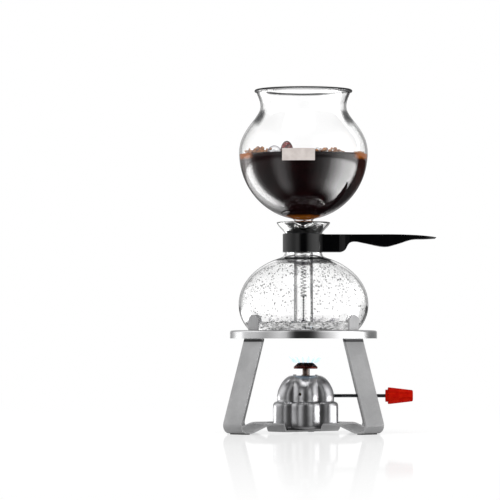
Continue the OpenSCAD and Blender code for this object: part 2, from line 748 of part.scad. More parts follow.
module lobe_outline(s, r, inset = 0) {
    circle(r = s);
    round_to(lobes) rotate(30) translate([s, 0]) circle(r = r - inset);
}
// The tank's solid shape, with a round shoulder and foot
module tank_shape() {
    reach = tank_lobe_s + tank_lobe_r;
    outline = concat([[0, tank_z]],
        arc([reach - tank_foot_r, tank_z + tank_foot_r], tank_foot_r, -90, 90),
        arc([reach - tank_edge_r, tank_top_z - tank_edge_r], tank_edge_r, 0, 90), [[0, tank_top_z]]);
    intersection() {
        translate([0, 0, tank_z]) linear_extrude(tank_h) lobe_outline(tank_lobe_s, tank_lobe_r);
        rotate_extrude() polygon(outline);
    }
}
module burner_tank() {
    floor_z = tank_z + hollow_h + tank_t;
    color([0.75, 0.76, 0.78]) on_burner() difference() {
        tank_shape();
        disc(hollow_r, tank_z - 1, hollow_h + 1);
        translate([0, 0, floor_z]) linear_extrude(tank_top_z - tank_t - floor_z)
            lobe_outline(tank_lobe_s, tank_lobe_r, tank_edge_r / 2);
        disc(mouth_r, tank_top_z - tank_t - 1, tank_t + 2);
        disc(filler_r + fit_gap, tank_z, hollow_h + tank_t + 1);
    }
}
module tank_seal() {
    color([0.15, 0.15, 0.15]) on_burner() disc(lid_r - 0.4, tank_top_z, seal_t, mouth_r);
}
module tank_lid() {
    color("khaki") on_burner() disc(lid_r, lid_z, lid_t, pickup_r + fit_gap);
}
// The dome's solid shape, lobed at its foot and round at its top
module dome_shape(inset) {
    foot_r = dome_lobe_s + dome_lobe_r - inset;
    top_r = dome_top_r - inset;
    top = dome_h - inset;
    outline = concat([[0, 0], [foot_r, 0]],
        bezier([foot_r, dome_wall_h], [foot_r - 0.5, dome_wall_h + 0.5 * (top - dome_wall_h)],
            [top_r + 6, top - 1.6], [top_r, top]), [[0, top]]);
    translate([0, 0, tank_top_z]) intersection() {
        linear_extrude(dome_h + 1) lobe_outline(dome_lobe_s, dome_lobe_r, inset);
        rotate_extrude() polygon(outline);
    }
}
module at_posts() { for (side = [0, 180]) rotate(post_angle + side) translate([post_s, 0, 0]) children(); }
module burner_dome() {
    color([0.75, 0.76, 0.78]) on_burner() difference() {
        dome_shape(0);
        translate([0, 0, -0.01]) dome_shape(dome_t);
        disc(neck_tube_r + fit_gap, dome_top_z - dome_t - 1, dome_t + 2);
        at_posts() translate([0, 0, dome_top_z - dome_t - 1]) cylinder(r = post_r / 2 + fit_gap, h = dome_t + 2);
        along_x(rod_r + 0.6, dome_lobe_s, dome_lobe_r + 5);
        translate([-peep_x, 0, tank_top_z + peep_h]) rotate([90, 0, 0]) cylinder(r = peep_r, h = 60);
    }
}
module dome_posts() {
    post_h = dome_top_z - dome_t - lid_top_z;
    color("khaki") on_burner() at_posts() translate([0, 0, lid_top_z]) difference() {
        cylinder(r = post_r, h = post_h);
        translate([0, 0, post_h - 5]) cylinder(r = post_r / 2, h = 6);
    }
}
module dome_screws() {
    head_h = 1.2;
    color("silver") on_burner() at_posts() difference() {
        union() {
            translate([0, 0, dome_top_z - dome_t - 4]) cylinder(r = post_r / 2, h = dome_t + 4 + head_h / 2);
            translate([0, 0, dome_top_z]) cylinder(r = dome_screw_r, h = head_h);
        }
        translate([-dome_screw_r - 1, -0.3, dome_top_z + head_h / 2]) cube([2 * dome_screw_r + 2, 0.6, head_h]);
    }
}
module pickup_tube() {
    color("khaki") on_burner() disc(pickup_r, lid_top_z - pickup_l, pickup_l, pickup_r - 0.6);
}
module pickup_wick() {
    color("ivory") on_burner() disc(wick_r, lid_top_z - pickup_l, pickup_l - lid_t - seal_t - 1, pickup_r + fit_gap);
}
module valve_body() {
    color("khaki") on_burner() difference() {
        translate([-valve_l / 2, -valve_w, lid_top_z]) cube([valve_l, 2 * valve_w, valve_h]);
        along_x(rod_r + running_gap, needle_x, valve_l);
        along_x(0.5, -valve_l / 2 + 2, valve_l);
        along_x(packing_r + fit_gap, gland_x - packing_l, valve_l);
        disc(0.6, lid_top_z - 1, valve_h + 2);
    }
}
module gland_packing() {
    color([0.15, 0.15, 0.15]) on_burner() difference() {
        along_x(packing_r, gland_x - packing_l, packing_l);
        along_x(rod_r + running_gap, gland_x - packing_l - 1, packing_l + 2);
    }
}
module gland_nut() {
    color("khaki") on_burner() difference() {
        union() {
            along_x(packing_r, gland_x, 2);
            translate([valve_l / 2, 0, rod_z]) rotate([0, 90, 0]) rotate(30) cylinder(r = gland_r, h = gland_l - 2, $fn = 6);
        }
        along_x(rod_r + running_gap, gland_x - 1, gland_l + 4);
    }
}
module gas_jet() {
    color("gold") on_burner() difference() {
        union() {
            disc(jet_r, jet_z, jet_h * 0.6);
            translate([0, 0, jet_z + jet_h * 0.6]) cylinder(r1 = jet_r, r2 = jet_r / 2, h = jet_h * 0.4);
        }
        disc(0.4, jet_z - 1, jet_h + 2);
    }
}
module mixing_tube() {
    bore = neck_tube_r - neck_tube_t;
    port_z = jet_z + jet_h + 2.4;
    color("dimgray") on_burner() difference() {
        union() {
            disc(neck_tube_r, jet_z, cap_z + brim_h - jet_z);
            disc(neck_tube_r + 1.2, dome_top_z, 1.2);
        }
        disc(bore, jet_z - 1, cap_z + brim_h - jet_z + 2);
        for (a = [0, 90]) rotate(a) translate([-neck_tube_r - 1, 0, port_z]) rotate([0, 90, 0])
            cylinder(r = 1.5, h = 2 * neck_tube_r + 2);
    }
}
module burner_cap() {
    top = cap_z + cap_h;
    outline = [[neck_tube_r + fit_gap, cap_z], [cap_r - 1.2, cap_z], [cap_r, cap_z + 0.8],
        [cap_r, cap_z + brim_h], [cap_top_r, top], [0, top], [0, top - cap_t], [cap_top_r - 0.6, top - cap_t],
        [cap_r - cap_t - 0.6, cap_z + brim_h], [cap_r - cap_t - 0.6, cap_z + cap_t],
        [neck_tube_r + fit_gap, cap_z + cap_t]];
    color([0.2, 0.09, 0.07]) on_burner() difference() {
        rotate_extrude() polygon(outline);
        round_to(cap_slots) translate([cap_top_r - 1.6, -cap_slot_w / 2, cap_z + brim_h + 0.6])
            cube([cap_r, cap_slot_w, cap_h]);
    }
}
// A wire bent into a loop beside the neck: it holds the head down
module head_clip() {
    s = neck_tube_r + 0.75;
    run = 2.6;
    rise = neck_tube_h - clip_wire_r - 0.2;
    low = dome_top_z + 1.2 + clip_wire_r;
    color("gainsboro") on_burner() for (side = [-1, 1]) {
        translate([s, side * run / 2, low]) cylinder(r = clip_wire_r, h = dome_top_z + rise - low);
        translate([s, side * run / 2, low]) sphere(r = clip_wire_r);
        translate([s, side * run / 2, dome_top_z + rise]) sphere(r = clip_wire_r);
        if (side > 0) translate([s, -run / 2, dome_top_z + rise]) rotate([-90, 0, 0])
            cylinder(r = clip_wire_r, h = run);
    }
}

// ---- Filler valve ----

module filler_body() {
    top = filler_z + filler_h;
    color("khaki") on_burner() difference() {
        disc(filler_r, filler_z, filler_h);
        disc(filler_pin_r + running_gap, filler_z - 1, filler_h);
        disc(filler_bore_r, filler_floor_z, filler_h - (filler_floor_z - filler_z) - 1.2);
        disc(0.6, top - 2, 3);
    }
}
module filler_seal() {
    color([0.15, 0.15, 0.15]) on_burner()
        disc(filler_bore_r - fit_gap, filler_floor_z, filler_seal_t, filler_pin_r + running_gap + 0.1);
}
module filler_spring() {
    low = filler_flange_z + filler_flange_t;
    color("silver") on_burner() translate([0, 0, low])
        coil(2, 0.3, filler_z + filler_h - 1.2 - low - 0.1, 5);
}
module filler_pin() {
    color("khaki") on_burner() {
        disc(filler_pin_r, filler_z + 0.3, filler_flange_z - filler_z);
        disc(filler_bore_r - 0.3, filler_flange_z, filler_flange_t);
        disc(1.2, filler_flange_z, filler_flange_t + 2);
    }
}

// ---- Rod and knob ----

module control_rod() {
    point_x = needle_x + 0.6;
    color("dimgray") on_burner() {
        translate([point_x, 0, rod_z]) rotate([0, 90, 0]) cylinder(r1 = 0.3, r2 = rod_r, h = needle_l);
        along_x(rod_r, point_x + needle_l, knob_s + knob_l - 6 - point_x - needle_l);
    }
}
module control_knob() {
    body_l = knob_l - knob_collar_l;
    lean = atan2(knob_r - knob_tip_r, body_l);
    edge = 0.9;
    collar = knob_r * 0.72;
    outline = [[0, 0], [collar, 0], [collar, knob_collar_l], [knob_r - edge, knob_collar_l],
        [knob_r, knob_collar_l + edge], [knob_tip_r, knob_l - edge], [knob_tip_r - edge, knob_l], [0, knob_l]];
    color([0.8, 0.1, 0.05]) on_burner() difference() {
        translate([knob_s, 0, rod_z]) rotate([0, 90, 0]) difference() {
            rotate_extrude() polygon(outline);
            rotate(90 / flutes) round_to(flutes) translate([knob_r + 0.5 * flute_r, 0, knob_collar_l])
                rotate([0, -lean, 0]) translate([0, 0, -2]) cylinder(r = flute_r, h = knob_l + 4);
        }
        along_x(rod_r, knob_s - 1, knob_l - 5);
        grub(grub_r);
    }
}
module grub(r, z = 0) {
    translate([knob_s + knob_collar_l / 2, 0, rod_z]) rotate([-90, 0, 0]) translate([0, 0, rod_r + z])
        cylinder(r = r, h = knob_r);
}
module knob_screw() {
    color("dimgray") on_burner() intersection() {
        grub(grub_r, 0.1);
        translate([knob_s, 0, rod_z]) rotate([0, 90, 0]) cylinder(r = knob_r * 0.7, h = knob_collar_l);
    }
}

stand_ring();
lower_strip();
upper_strip();
cross_rivets();
foot_pads();
lower_globe();
neck_liner();
collar_band();
handle();
clamp_screw();
clamp_nut();
upper_globe();
siphon_tube();
funnel_gasket();
filter_plate();
filter_mesh();
filter_ring();
filter_pin();
filter_spring();
filter_chain();
chain_weight();
burner_tank();
tank_seal();
tank_lid();
burner_dome();
dome_posts();
dome_screws();
pickup_tube();
pickup_wick();
valve_body();
gland_packing();
gland_nut();
gas_jet();
mixing_tube();
burner_cap();
head_clip();
filler_body();
filler_seal();
filler_spring();
filler_pin();
control_rod();
control_knob();
knob_screw();
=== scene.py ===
import json
import math
import random

import bmesh
import bpy
from mathutils import Matrix, Vector


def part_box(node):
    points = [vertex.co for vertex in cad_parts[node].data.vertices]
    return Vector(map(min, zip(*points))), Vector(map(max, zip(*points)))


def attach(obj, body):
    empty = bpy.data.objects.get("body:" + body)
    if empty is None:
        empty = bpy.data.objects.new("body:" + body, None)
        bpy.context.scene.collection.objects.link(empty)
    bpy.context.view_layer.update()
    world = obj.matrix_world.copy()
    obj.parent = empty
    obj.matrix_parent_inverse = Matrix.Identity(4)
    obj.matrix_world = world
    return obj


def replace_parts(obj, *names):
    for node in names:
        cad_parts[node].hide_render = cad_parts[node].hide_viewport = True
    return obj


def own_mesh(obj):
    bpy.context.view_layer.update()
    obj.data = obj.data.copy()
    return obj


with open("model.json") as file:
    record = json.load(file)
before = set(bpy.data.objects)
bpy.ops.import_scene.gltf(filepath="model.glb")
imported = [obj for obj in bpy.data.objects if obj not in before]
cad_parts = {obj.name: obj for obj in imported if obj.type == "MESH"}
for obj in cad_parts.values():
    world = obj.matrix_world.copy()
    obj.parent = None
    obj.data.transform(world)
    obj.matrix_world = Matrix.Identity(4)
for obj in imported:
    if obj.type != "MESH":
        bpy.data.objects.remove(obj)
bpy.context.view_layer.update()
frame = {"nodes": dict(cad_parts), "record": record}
nodes = frame["nodes"]
mm = 0.001
place = {"glassAxis": -32.444, "burnerAxis": -29.944}  # where the two axes stand, in mm


# wiring materials

class Wire:
    # a socket that can be used in sums
    def __init__(self, shop, socket):
        self.shop, self.socket = shop, socket

    def sum(self, operation, left, right):
        return self.shop.add("Math", {"operation": operation}, {0: left, 1: right})

    def __add__(self, other):
        return self.sum("ADD", self, other)

    def __radd__(self, other):
        return self.sum("ADD", other, self)

    def __sub__(self, other):
        return self.sum("SUBTRACT", self, other)

    def __rsub__(self, other):
        return self.sum("SUBTRACT", other, self)

    def __mul__(self, other):
        return self.sum("MULTIPLY", self, other)

    def __pow__(self, other):
        return self.sum("POWER", self, other)

    def rise(self, low, high, start=0.0, end=1.0):
        # goes smoothly from start to end as the value goes from low to high
        return self.shop.add("MapRange", {"interpolation_type": "SMOOTHSTEP"},
            {"Value": self, "From Min": low, "From Max": high, "To Min": start, "To Max": end})

    def larger(self, other):
        return self.sum("MAXIMUM", self, other)

    def sine(self):
        return self.sum("SINE", self, 0.0)


class Shop:
    # puts nodes into one tree
    def __init__(self, tree):
        self.tree = tree
        self.tree.nodes.clear()

    def add(self, kind, settings=None, inputs=None, output=0):
        node = self.tree.nodes.new("ShaderNode" + kind)
        for key, value in (settings or {}).items():
            if key == "stops":
                elements = node.color_ramp.elements
                elements.remove(elements[1])
                elements[0].position, first = value[0]
                elements[0].color = (first, first, first, 1)
                for position, grey in value[1:]:
                    elements.new(position).color = (grey, grey, grey, 1)
            else:
                setattr(node, key, value)
        for key, value in (inputs or {}).items():
            if isinstance(value, Wire):
                self.tree.links.new(value.socket, node.inputs[key])
            else:
                node.inputs[key].default_value = value
        return Wire(self, node.outputs[output])

    def place(self, stretch=(1, 1, 1)):
        # object coordinates in millimetres, stretched along each axis
        spot = self.add("TexCoord", output="Object")
        return self.add("Mapping", {}, {"Vector": spot, "Scale": tuple(s / mm for s in stretch)})

    def noise(self, size, stretch=(1, 1, 1), detail=3.0):
        # grain of one size in millimetres, about 0.5
        return self.add("TexNoise", {}, {"Vector": self.place(stretch), "Scale": 1 / size, "Detail": detail})

    def part(self, axis, spot=None):
        # one coordinate, of the object unless another vector is given
        return self.add("SeparateXYZ", {}, {0: spot or self.add("TexCoord", output="Object")}, axis)

    def blend(self, factor, first, second):
        return self.add("Mix", {"data_type": "RGBA"}, {0: factor, 6: first, 7: second}, 2)

    def bump(self, height, strength, distance):
        return self.add("Bump", {}, {"Height": height, "Strength": strength, "Distance": distance * mm})


def tone(code):
    # a colour written as on a paint card, made linear
    levels = [int(code[i:i + 2], 16) / 255 for i in (0, 2, 4)]
    return tuple(v / 12.92 if v <= 0.04045 else ((v + 0.055) / 1.055) ** 2.4 for v in levels) + (1,)


def newMaterial(name):
    material = bpy.data.materials.new(name)
    material.use_nodes = True
    return material, Shop(material.node_tree)


def finishWith(shop, shader, kind="OutputMaterial"):
    node = shop.tree.nodes.new("ShaderNode" + kind)
    shop.tree.links.new(shader.socket, node.inputs["Surface"])


# finishes

middling = (0.35, 0.65)  # where a cloud of noise goes from one tone to the other
drawnOut = {"x": (0.012, 1, 1), "z": (1, 1, 0.012)}  # brushed grain, long along one axis


def plainFinish(name, look):
    # a moulded or cast finish: a colour that wanders a little, fine grain and uneven gloss
    material, shop = newMaterial(name)
    cloud = shop.noise(look["cloud"])
    grain = shop.noise(look["grain"], detail=4.0)
    worn = shop.noise(look["cloud"] * 0.35, detail=5.0).rise(0.52, 0.7)
    colour = shop.blend(cloud.rise(*middling), tone(look["dark"]), tone(look["light"]))
    rough = look["rough"] + (grain - 0.5) * look["roughSpread"] + worn * look["roughSpread"] * 0.5
    shader = shop.add("BsdfPrincipled", {}, {
        "Base Color": colour, "Roughness": rough, "Metallic": look.get("metal", 0.0),
        "IOR": look.get("ior", 1.5), "Normal": shop.bump(grain, look["bump"], look["depth"])})
    finishWith(shop, shader)
    return material


def brushedFinish(name, look):
    # steel with its grain drawn one way
    material, shop = newMaterial(name)
    lines = shop.noise(look["line"], drawnOut[look["along"]], 5.0)
    cloud = shop.noise(look["cloud"])
    marks = shop.noise(look["cloud"] * 0.2, detail=6.0).rise(0.6, 0.75)
    colour = shop.blend(cloud.rise(0.3, 0.7), tone(look["dark"]), tone(look["light"]))
    colour = shop.blend((lines - 0.5) * 0.5 + look["bright"], colour, shop.blend(0.5, colour, tone("ffffff")))
    if "shade" in look:
        # a painted shadow: the legs are darkened in a band just under the ring, where the ring shades them
        low, high, soft = look["shade"]
        height = shop.part(2)
        paintedShadow = height.rise(low - soft, low) * height.rise(high, high + soft, 1.0, 0.0)
        colour = shop.blend(paintedShadow, colour, tone("080809"))
    rough = look["rough"] + (lines - 0.5) * look["roughSpread"] + marks * 0.05
    shader = shop.add("BsdfPrincipled", {}, {
        "Base Color": colour, "Roughness": rough, "Metallic": look["metal"],
        "Normal": shop.bump(lines, look["bump"], look["depth"])})
    finishWith(shop, shader)
    return material


def glassFinish(name, look):
    # clear glass with a painted dark line where it is seen edge on, standing in for the shade that the bent
    # light gives there
    material, shop = newMaterial(name)
    facing = shop.add("LayerWeight", {}, {"Blend": 0.5}, "Facing")
    ripple = shop.noise(look["ripple"], detail=2.0)
    colour = shop.blend(facing.rise(*look["edge"]), tone(look["clear"]), tone(look["line"]))
    glass = shop.add("BsdfPrincipled", {}, {
        "Base Color": colour, "Roughness": look["rough"], "IOR": look["ior"], "Transmission Weight": 1.0,
        "Normal": shop.bump(ripple, look["bump"], 0.4)})
    shadow = shop.add("LightPath", output="Is Shadow Ray")
    diffuse = shop.add("LightPath", output="Is Diffuse Ray")
    through = shop.add("BsdfTransparent", {}, {"Color": tone(look["shade"])})
    # the painted dark edge: a near black surface mixed in where the glass is seen edge on
    line = shop.add("BsdfPrincipled", {}, {"Base Color": tone(look["line"]), "Roughness": 0.4, "IOR": 1.1})
    dark = facing.rise(*look["edge"], 0.0, look["strength"])
    height = shop.part(2)
    for low, high, fade, start, end, amount in look.get("rings", []):
        # a painted dark ring between two heights, in metres, standing in for the light that thick glass bends
        # away
        paintedRing = height.rise(low - fade, low) * height.rise(high, high + fade, 1.0, 0.0)
        dark = dark.larger(paintedRing * facing.rise(start, end) * amount)
    glass = shop.add("MixShader", {}, {0: dark, 1: glass, 2: line})
    finishWith(shop, shop.add("MixShader", {}, {0: shadow.larger(diffuse), 1: glass, 2: through}))
    return material


def coffeeFinish(name, look):
    # near black where it is deep, redder to the sides, amber at its edge and at the foot of the bowl, where
    # it is thin; there it also glows with painted light, as if lit through from behind
    material, shop = newMaterial(name)
    height = shop.part(2)
    wander = (shop.noise(7.0) - 0.5) * 0.004
    top = (height + wander).rise(look["top"] - 0.007, look["top"] - 0.003)
    foot = (height + wander * 0.5).rise(look["foot"], look["foot"] + 0.004, 1.0, 0.0)
    across = shop.part(0) - place["glassAxis"] * mm
    out = (across * across + shop.part(1) * shop.part(1)) ** 0.5
    side = (across * across) ** 0.5
    thin = foot.larger(top * side.rise(*look["thinSide"]) * out.rise(*look["thinOut"]))
    swirl = shop.noise(16.0)
    deep = shop.blend(swirl.rise(*middling), tone(look["dark"]), tone(look["light"]))
    red = shop.blend(side.rise(*look["redSide"]), deep, tone(look["red"]))
    colour = shop.blend(thin, red, tone(look["amber"]))
    # where the coffee is thin its colour turns amber, and a painted amber glow is added as emission
    shader = shop.add("BsdfPrincipled", {}, {
        "Base Color": colour, "Roughness": 0.06 + swirl * 0.05, "IOR": 1.3,
        "Emission Color": shop.blend(thin, (0, 0, 0, 1), tone(look["paintedGlow"])), "Emission Strength": 0.35,
        "Normal": shop.bump(shop.noise(9.0, detail=2.0), 0.12, 0.4)})
    finishWith(shop, shader)
    return material


def bubbleFinish(name, look):
    # a thin film: clear in the middle, coloured at its rim, with a wet shine
    material, shop = newMaterial(name)
    facing = shop.add("LayerWeight", {}, {"Blend": 0.5}, "Facing")
    swirl = shop.noise(look["swirl"])
    film = swirl.rise(0.45, 0.6).larger(facing.rise(0.35, 0.75))
    colour = shop.blend(film, tone(look["pale"]), tone(look["deep"]))
    alpha = look["thin"] + facing.rise(0.15, 0.95) * (look["thick"] - look["thin"])
    shader = shop.add("BsdfPrincipled", {}, {
        "Base Color": colour, "Roughness": 0.05 + swirl * 0.05, "IOR": 1.4, "Alpha": alpha,
        "Normal": shop.bump(swirl, 0.1, 0.2)})
    finishWith(shop, shader)
    return material


def clothFinish(name, look):
    # woven threads over and under
    material, shop = newMaterial(name)
    spot = shop.place()
    rate = math.tau / look["thread"]
    warp = (shop.part(0, spot) * rate).sine()
    weft = (shop.part(1, spot) * rate).sine()
    weave = warp * weft * 0.5 + 0.5
    fuzz = shop.noise(0.25, detail=4.0)
    colour = shop.blend(weave * 0.7 + fuzz * 0.3, tone(look["dark"]), tone(look["light"]))
    shader = shop.add("BsdfPrincipled", {}, {
        "Base Color": colour, "Roughness": 0.8 + (fuzz - 0.5) * 0.2, "Normal": shop.bump(weave, 0.5, 0.15)})
    finishWith(shop, shader)
    return material


def flameFinish(name, look):
    # thin blue gas flame, brightest at its foot
    material, shop = newMaterial(name)
    lick = shop.noise(1.6, stretch=(1, 1, 0.4), detail=2.0)
    height = shop.part(2)
    level = height + (lick - 0.5) * 0.002
    lit = level.rise(look["foot"], look["body"], 0.0, look["strong"])
    fade = lit * level.rise(look["body"], look["tip"], 1.0, 0.0)
    shader = shop.add("BsdfPrincipled", {}, {
        "Base Color": tone("ffffff"), "Roughness": 1.0, "Specular IOR Level": 0.0, "Alpha": fade,
        "Emission Color": shop.blend(lick, tone(look["blue"]), tone(look["pale"])), "Emission Strength": 0.8})
    finishWith(shop, shader)
    return material


def heatedFinish(name, look):
    # metal stained by heat: brown-red below, sooty above
    material, shop = newMaterial(name)
    stain = shop.noise(look["stain"], detail=6.0)
    height = shop.part(2) + (stain - 0.5) * 0.004
    soot = height.rise(look["sootFrom"], look["sootTo"])
    colour = shop.blend(stain.rise(*middling), tone(look["dark"]), tone(look["light"]))
    colour = shop.blend(soot, colour, tone(look["soot"]))
    shader = shop.add("BsdfPrincipled", {}, {
        "Base Color": colour, "Roughness": 0.32 + stain * 0.25, "Metallic": 0.85,
        "Normal": shop.bump(stain, 0.25, 0.1)})
    finishWith(shop, shader)
    return material


print("making finishes")
# line is the colour of the painted dark edge line, and edge the facings over which it comes in
glassLook = {"clear": "fefefe", "line": "101113", "shade": "f4f4f4", "edge": (0.8, 0.98), "strength": 0.95,
    "ior": 1.45, "rough": 0.0, "ripple": 22.0, "bump": 0.03}
waterLook = dict(glassLook, ior=1.33, edge=(0.75, 0.97), line="2a2c2e", strength=0.4, ripple=6.0, bump=0.05)
looks = {
    "satinSteel": brushedFinish("satin_steel", {"along": "z", "line": 0.6, "cloud": 30.0, "dark": "929293",
        "light": "a2a2a3", "bright": 0.08, "metal": 0.1, "rough": 0.42, "roughSpread": 0.16, "bump": 0.08,
        # shade: the painted shadow under the ring, its low and high edge in metres and how soft its edges are
        "depth": 0.02, "shade": (0.1091, 0.1119, 0.0003)}),
    "ringSteel": brushedFinish("ring_steel", {"along": "x", "line": 0.5, "cloud": 40.0, "dark": "c2c2c3",
        "light": "d2d2d3", "bright": 0.25, "metal": 1.0, "rough": 0.13, "roughSpread": 0.06, "bump": 0.03,
        "depth": 0.02}),
    "mirrorSteel": plainFinish("mirror_steel", {"cloud": 12.0, "grain": 0.5, "dark": "a9a9ab",
        "light": "bcbcbe", "rough": 0.3, "roughSpread": 0.03, "metal": 1.0, "bump": 0.003, "depth": 0.02}),
    "screwSteel": plainFinish("screw_steel", {"cloud": 2.0, "grain": 0.3, "dark": "8e8e90", "light": "b0b0b2",
        "rough": 0.3, "roughSpread": 0.15, "metal": 1.0, "bump": 0.1, "depth": 0.03}),
    "wireSteel": plainFinish("wire_steel", {"cloud": 3.0, "grain": 0.4, "dark": "46474a", "light": "78797c",
        "rough": 0.25, "roughSpread": 0.15, "metal": 1.0, "bump": 0.1, "depth": 0.03}),
    "rodSteel": plainFinish("rod_steel", {"cloud": 6.0, "grain": 0.4, "dark": "48494b", "light": "66676a",
        "rough": 0.28, "roughSpread": 0.12, "metal": 1.0, "bump": 0.08, "depth": 0.02}),
    "brass": plainFinish("brass_turned", {"cloud": 4.0, "grain": 0.3, "dark": "b08a3e", "light": "cda85a",
        "rough": 0.3, "roughSpread": 0.15, "metal": 1.0, "bump": 0.1, "depth": 0.03}),
    "blackPlastic": plainFinish("black_plastic", {"cloud": 25.0, "grain": 0.35, "dark": "020203",
        "light": "060607", "rough": 0.12, "roughSpread": 0.05, "ior": 1.42, "bump": 0.08, "depth": 0.02}),
    "redPlastic": plainFinish("red_plastic", {"cloud": 6.0, "grain": 0.5, "dark": "b80e05", "light": "c41a08",
        "rough": 0.55, "roughSpread": 0.12, "ior": 1.08, "bump": 0.15, "depth": 0.05}),
    "darkRubber": plainFinish("dark_rubber", {"cloud": 8.0, "grain": 0.4, "dark": "060607", "light": "0e0e0f",
        "rough": 0.55, "roughSpread": 0.2, "bump": 0.2, "depth": 0.06}),
    "palePlastic": plainFinish("filter_plastic", {"cloud": 8.0, "grain": 0.6, "dark": "d8d4cc",
        "light": "e8e5de", "rough": 0.5, "roughSpread": 0.15, "bump": 0.1, "depth": 0.05}),
    "plate": plainFinish("plate_enamel", {"cloud": 9.0, "grain": 0.6, "dark": "d2c8c3", "light": "e0d7d2",
        "rough": 0.4, "roughSpread": 0.1, "bump": 0.08, "depth": 0.04}),
    "cloth": clothFinish("filter_cloth", {"thread": 1.1, "dark": "b9b4a6", "light": "e9e5da"}),
    "felt": plainFinish("wick_felt", {"cloud": 1.5, "grain": 0.25, "dark": "c9c2b2", "light": "e2dccf",
        "rough": 0.9, "roughSpread": 0.1, "bump": 0.6, "depth": 0.15}),
    "neckSteel": heatedFinish("neck_steel", {"stain": 2.5, "dark": "6a5a54", "light": "8d8078",
        "soot": "3a2c28", "sootFrom": 0.068, "sootTo": 0.080}),
    "capCopper": heatedFinish("cap_copper", {"stain": 3.0, "dark": "3a120c", "light": "5d2418",
        "soot": "0d0908", "sootFrom": 0.0785, "sootTo": 0.0825}),
    # a painted dark ring: low, high, how soft, the facing at which it starts and is full, how dark
    "lowGlass": glassFinish("low_glass", dict(glassLook, rings=[(0.2069, 0.2086, 0.0006, -1.0, -0.5, 0.9)])),
    "glass": glassFinish("clear_glass", dict(glassLook, rings=[
        (0.4098, 0.413, 0.0003, -0.4, 0.3, 0.85),
        (0.374, 0.383, 0.006, 0.52, 0.66, 0.7),
        (0.389, 0.4095, 0.004, 0.74, 0.95, 0.9)])),
    "tubeGlass": glassFinish("tube_glass", dict(glassLook, edge=(0.32, 0.62), line="5a5b5d", strength=0.5)),
    "drops": glassFinish("water_beads", dict(waterLook, edge=(0.05, 0.5), line="101112", strength=0.9)),
    "water": glassFinish("water_clear", dict(waterLook, ior=1.16)),
    "coffee": coffeeFinish("coffee_deep", {"top": 0.3328, "foot": 0.2585, "thinSide": (0.058, 0.066),
        "thinOut": (0.066, 0.072), "redSide": (0.052, 0.07), "dark": "0c0203", "light": "170506",
        "red": "2c0a05", "amber": "a0560f", "paintedGlow": "6a3a0c"}),
    "amberFilm": bubbleFinish("froth_amber", {"swirl": 2.0, "pale": "e0901c", "deep": "6a2a05",
        "thin": 0.6, "thick": 1.0}),
    "redFilm": bubbleFinish("froth_red", {"swirl": 3.0, "pale": "8c1613", "deep": "350406",
        "thin": 0.9, "thick": 1.0}),
    "clearFilm": bubbleFinish("froth_clear", {"swirl": 4.0, "pale": "c9c6d4", "deep": "76707e",
        "thin": 0.05, "thick": 0.75}),
    "flame": flameFinish("gas_flame", {"foot": 0.0832, "body": 0.087, "tip": 0.0925, "strong": 0.95,
        "blue": "5fabdf", "pale": "9fd0ee"}),
}


# modelling help

def bezier(a, b, c, d, count=16):
    points = []
    for i in range(count + 1):
        t = i / count
        u = 1 - t
        points.append(tuple(u ** 3 * p + 3 * u * u * t * q + 3 * u * t * t * r + t ** 3 * s
            for p, q, r, s in zip(a, b, c, d)))
    return points


def arc(centre, across, up, start, end, count=24):
    turns = [math.radians(start + (end - start) * i / count) for i in range(count + 1)]
    return [(centre[0] + across * math.cos(t), centre[1] + up * math.sin(t)) for t in turns]


def joined(*paths):
    # one path of several, without repeated points
    points = []
    for point in (p for path in paths for p in path):
        if not points or math.dist(point, points[-1]) > 0.02:
            points.append(point)
    return points


def inside(path, wall):
    # the path moved towards the axis by a wall
    moved = []
    for i, point in enumerate(path):
        before, after = path[max(i - 1, 0)], path[min(i + 1, len(path) - 1)]
        along = Vector((after[0] - before[0], after[1] - before[1])).normalized()
        moved.append((max(point[0] - wall * along[1], 0.0), point[1] + wall * along[0]))
    return moved


def spun(path, sides=128, closed=False):
    # a path of (radius, height) spun about the upright axis
    bm = bmesh.new()
    points = [bm.verts.new((radius, 0, height)) for radius, height in path]
    ends = list(zip(points, points[1:])) + ([(points[-1], points[0])] if closed else [])
    edges = [bm.edges.new(pair) for pair in ends]
    bmesh.ops.spin(bm, geom=points + edges, cent=(0, 0, 0), axis=(0, 0, 1), angle=math.tau,
        steps=sides, use_merge=True)
    bmesh.ops.remove_doubles(bm, verts=bm.verts, dist=0.001)
    bmesh.ops.recalc_face_normals(bm, faces=bm.faces)
    return bm


def smoothStep(value, low, high):
    t = min(max((value - low) / (high - low), 0.0), 1.0)
    return t * t * (3 - 2 * t)


def widen(point, factor):
    point.co.x *= factor
    point.co.y *= factor


def addObject(name, data):
    made = bpy.data.objects.new(name, data)
    bpy.context.collection.objects.link(made)
    return made


def addMesh(name, bm):
    mesh = bpy.data.meshes.new(name)
    bm.to_mesh(mesh)
    bm.free()
    return addObject(name, mesh)


def toPlace(bm, axis):
    # from millimetres about an axis to metres in the frame
    bmesh.ops.translate(bm, verts=bm.verts, vec=(place[axis], 0, 0))
    bmesh.ops.scale(bm, verts=bm.verts, vec=(mm, mm, mm))


def settle(name, bm, finish, body, axis="glassAxis", sharp=None):
    # makes a piece of a finished form, and puts it in its place
    toPlace(bm, axis)
    for face in bm.faces:
        face.smooth = True
    piece = addMesh(name, bm)
    if sharp:
        piece.data.set_sharp_from_angle(angle=math.radians(sharp))
    piece.data.materials.append(looks[finish])
    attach(piece, body)
    return piece


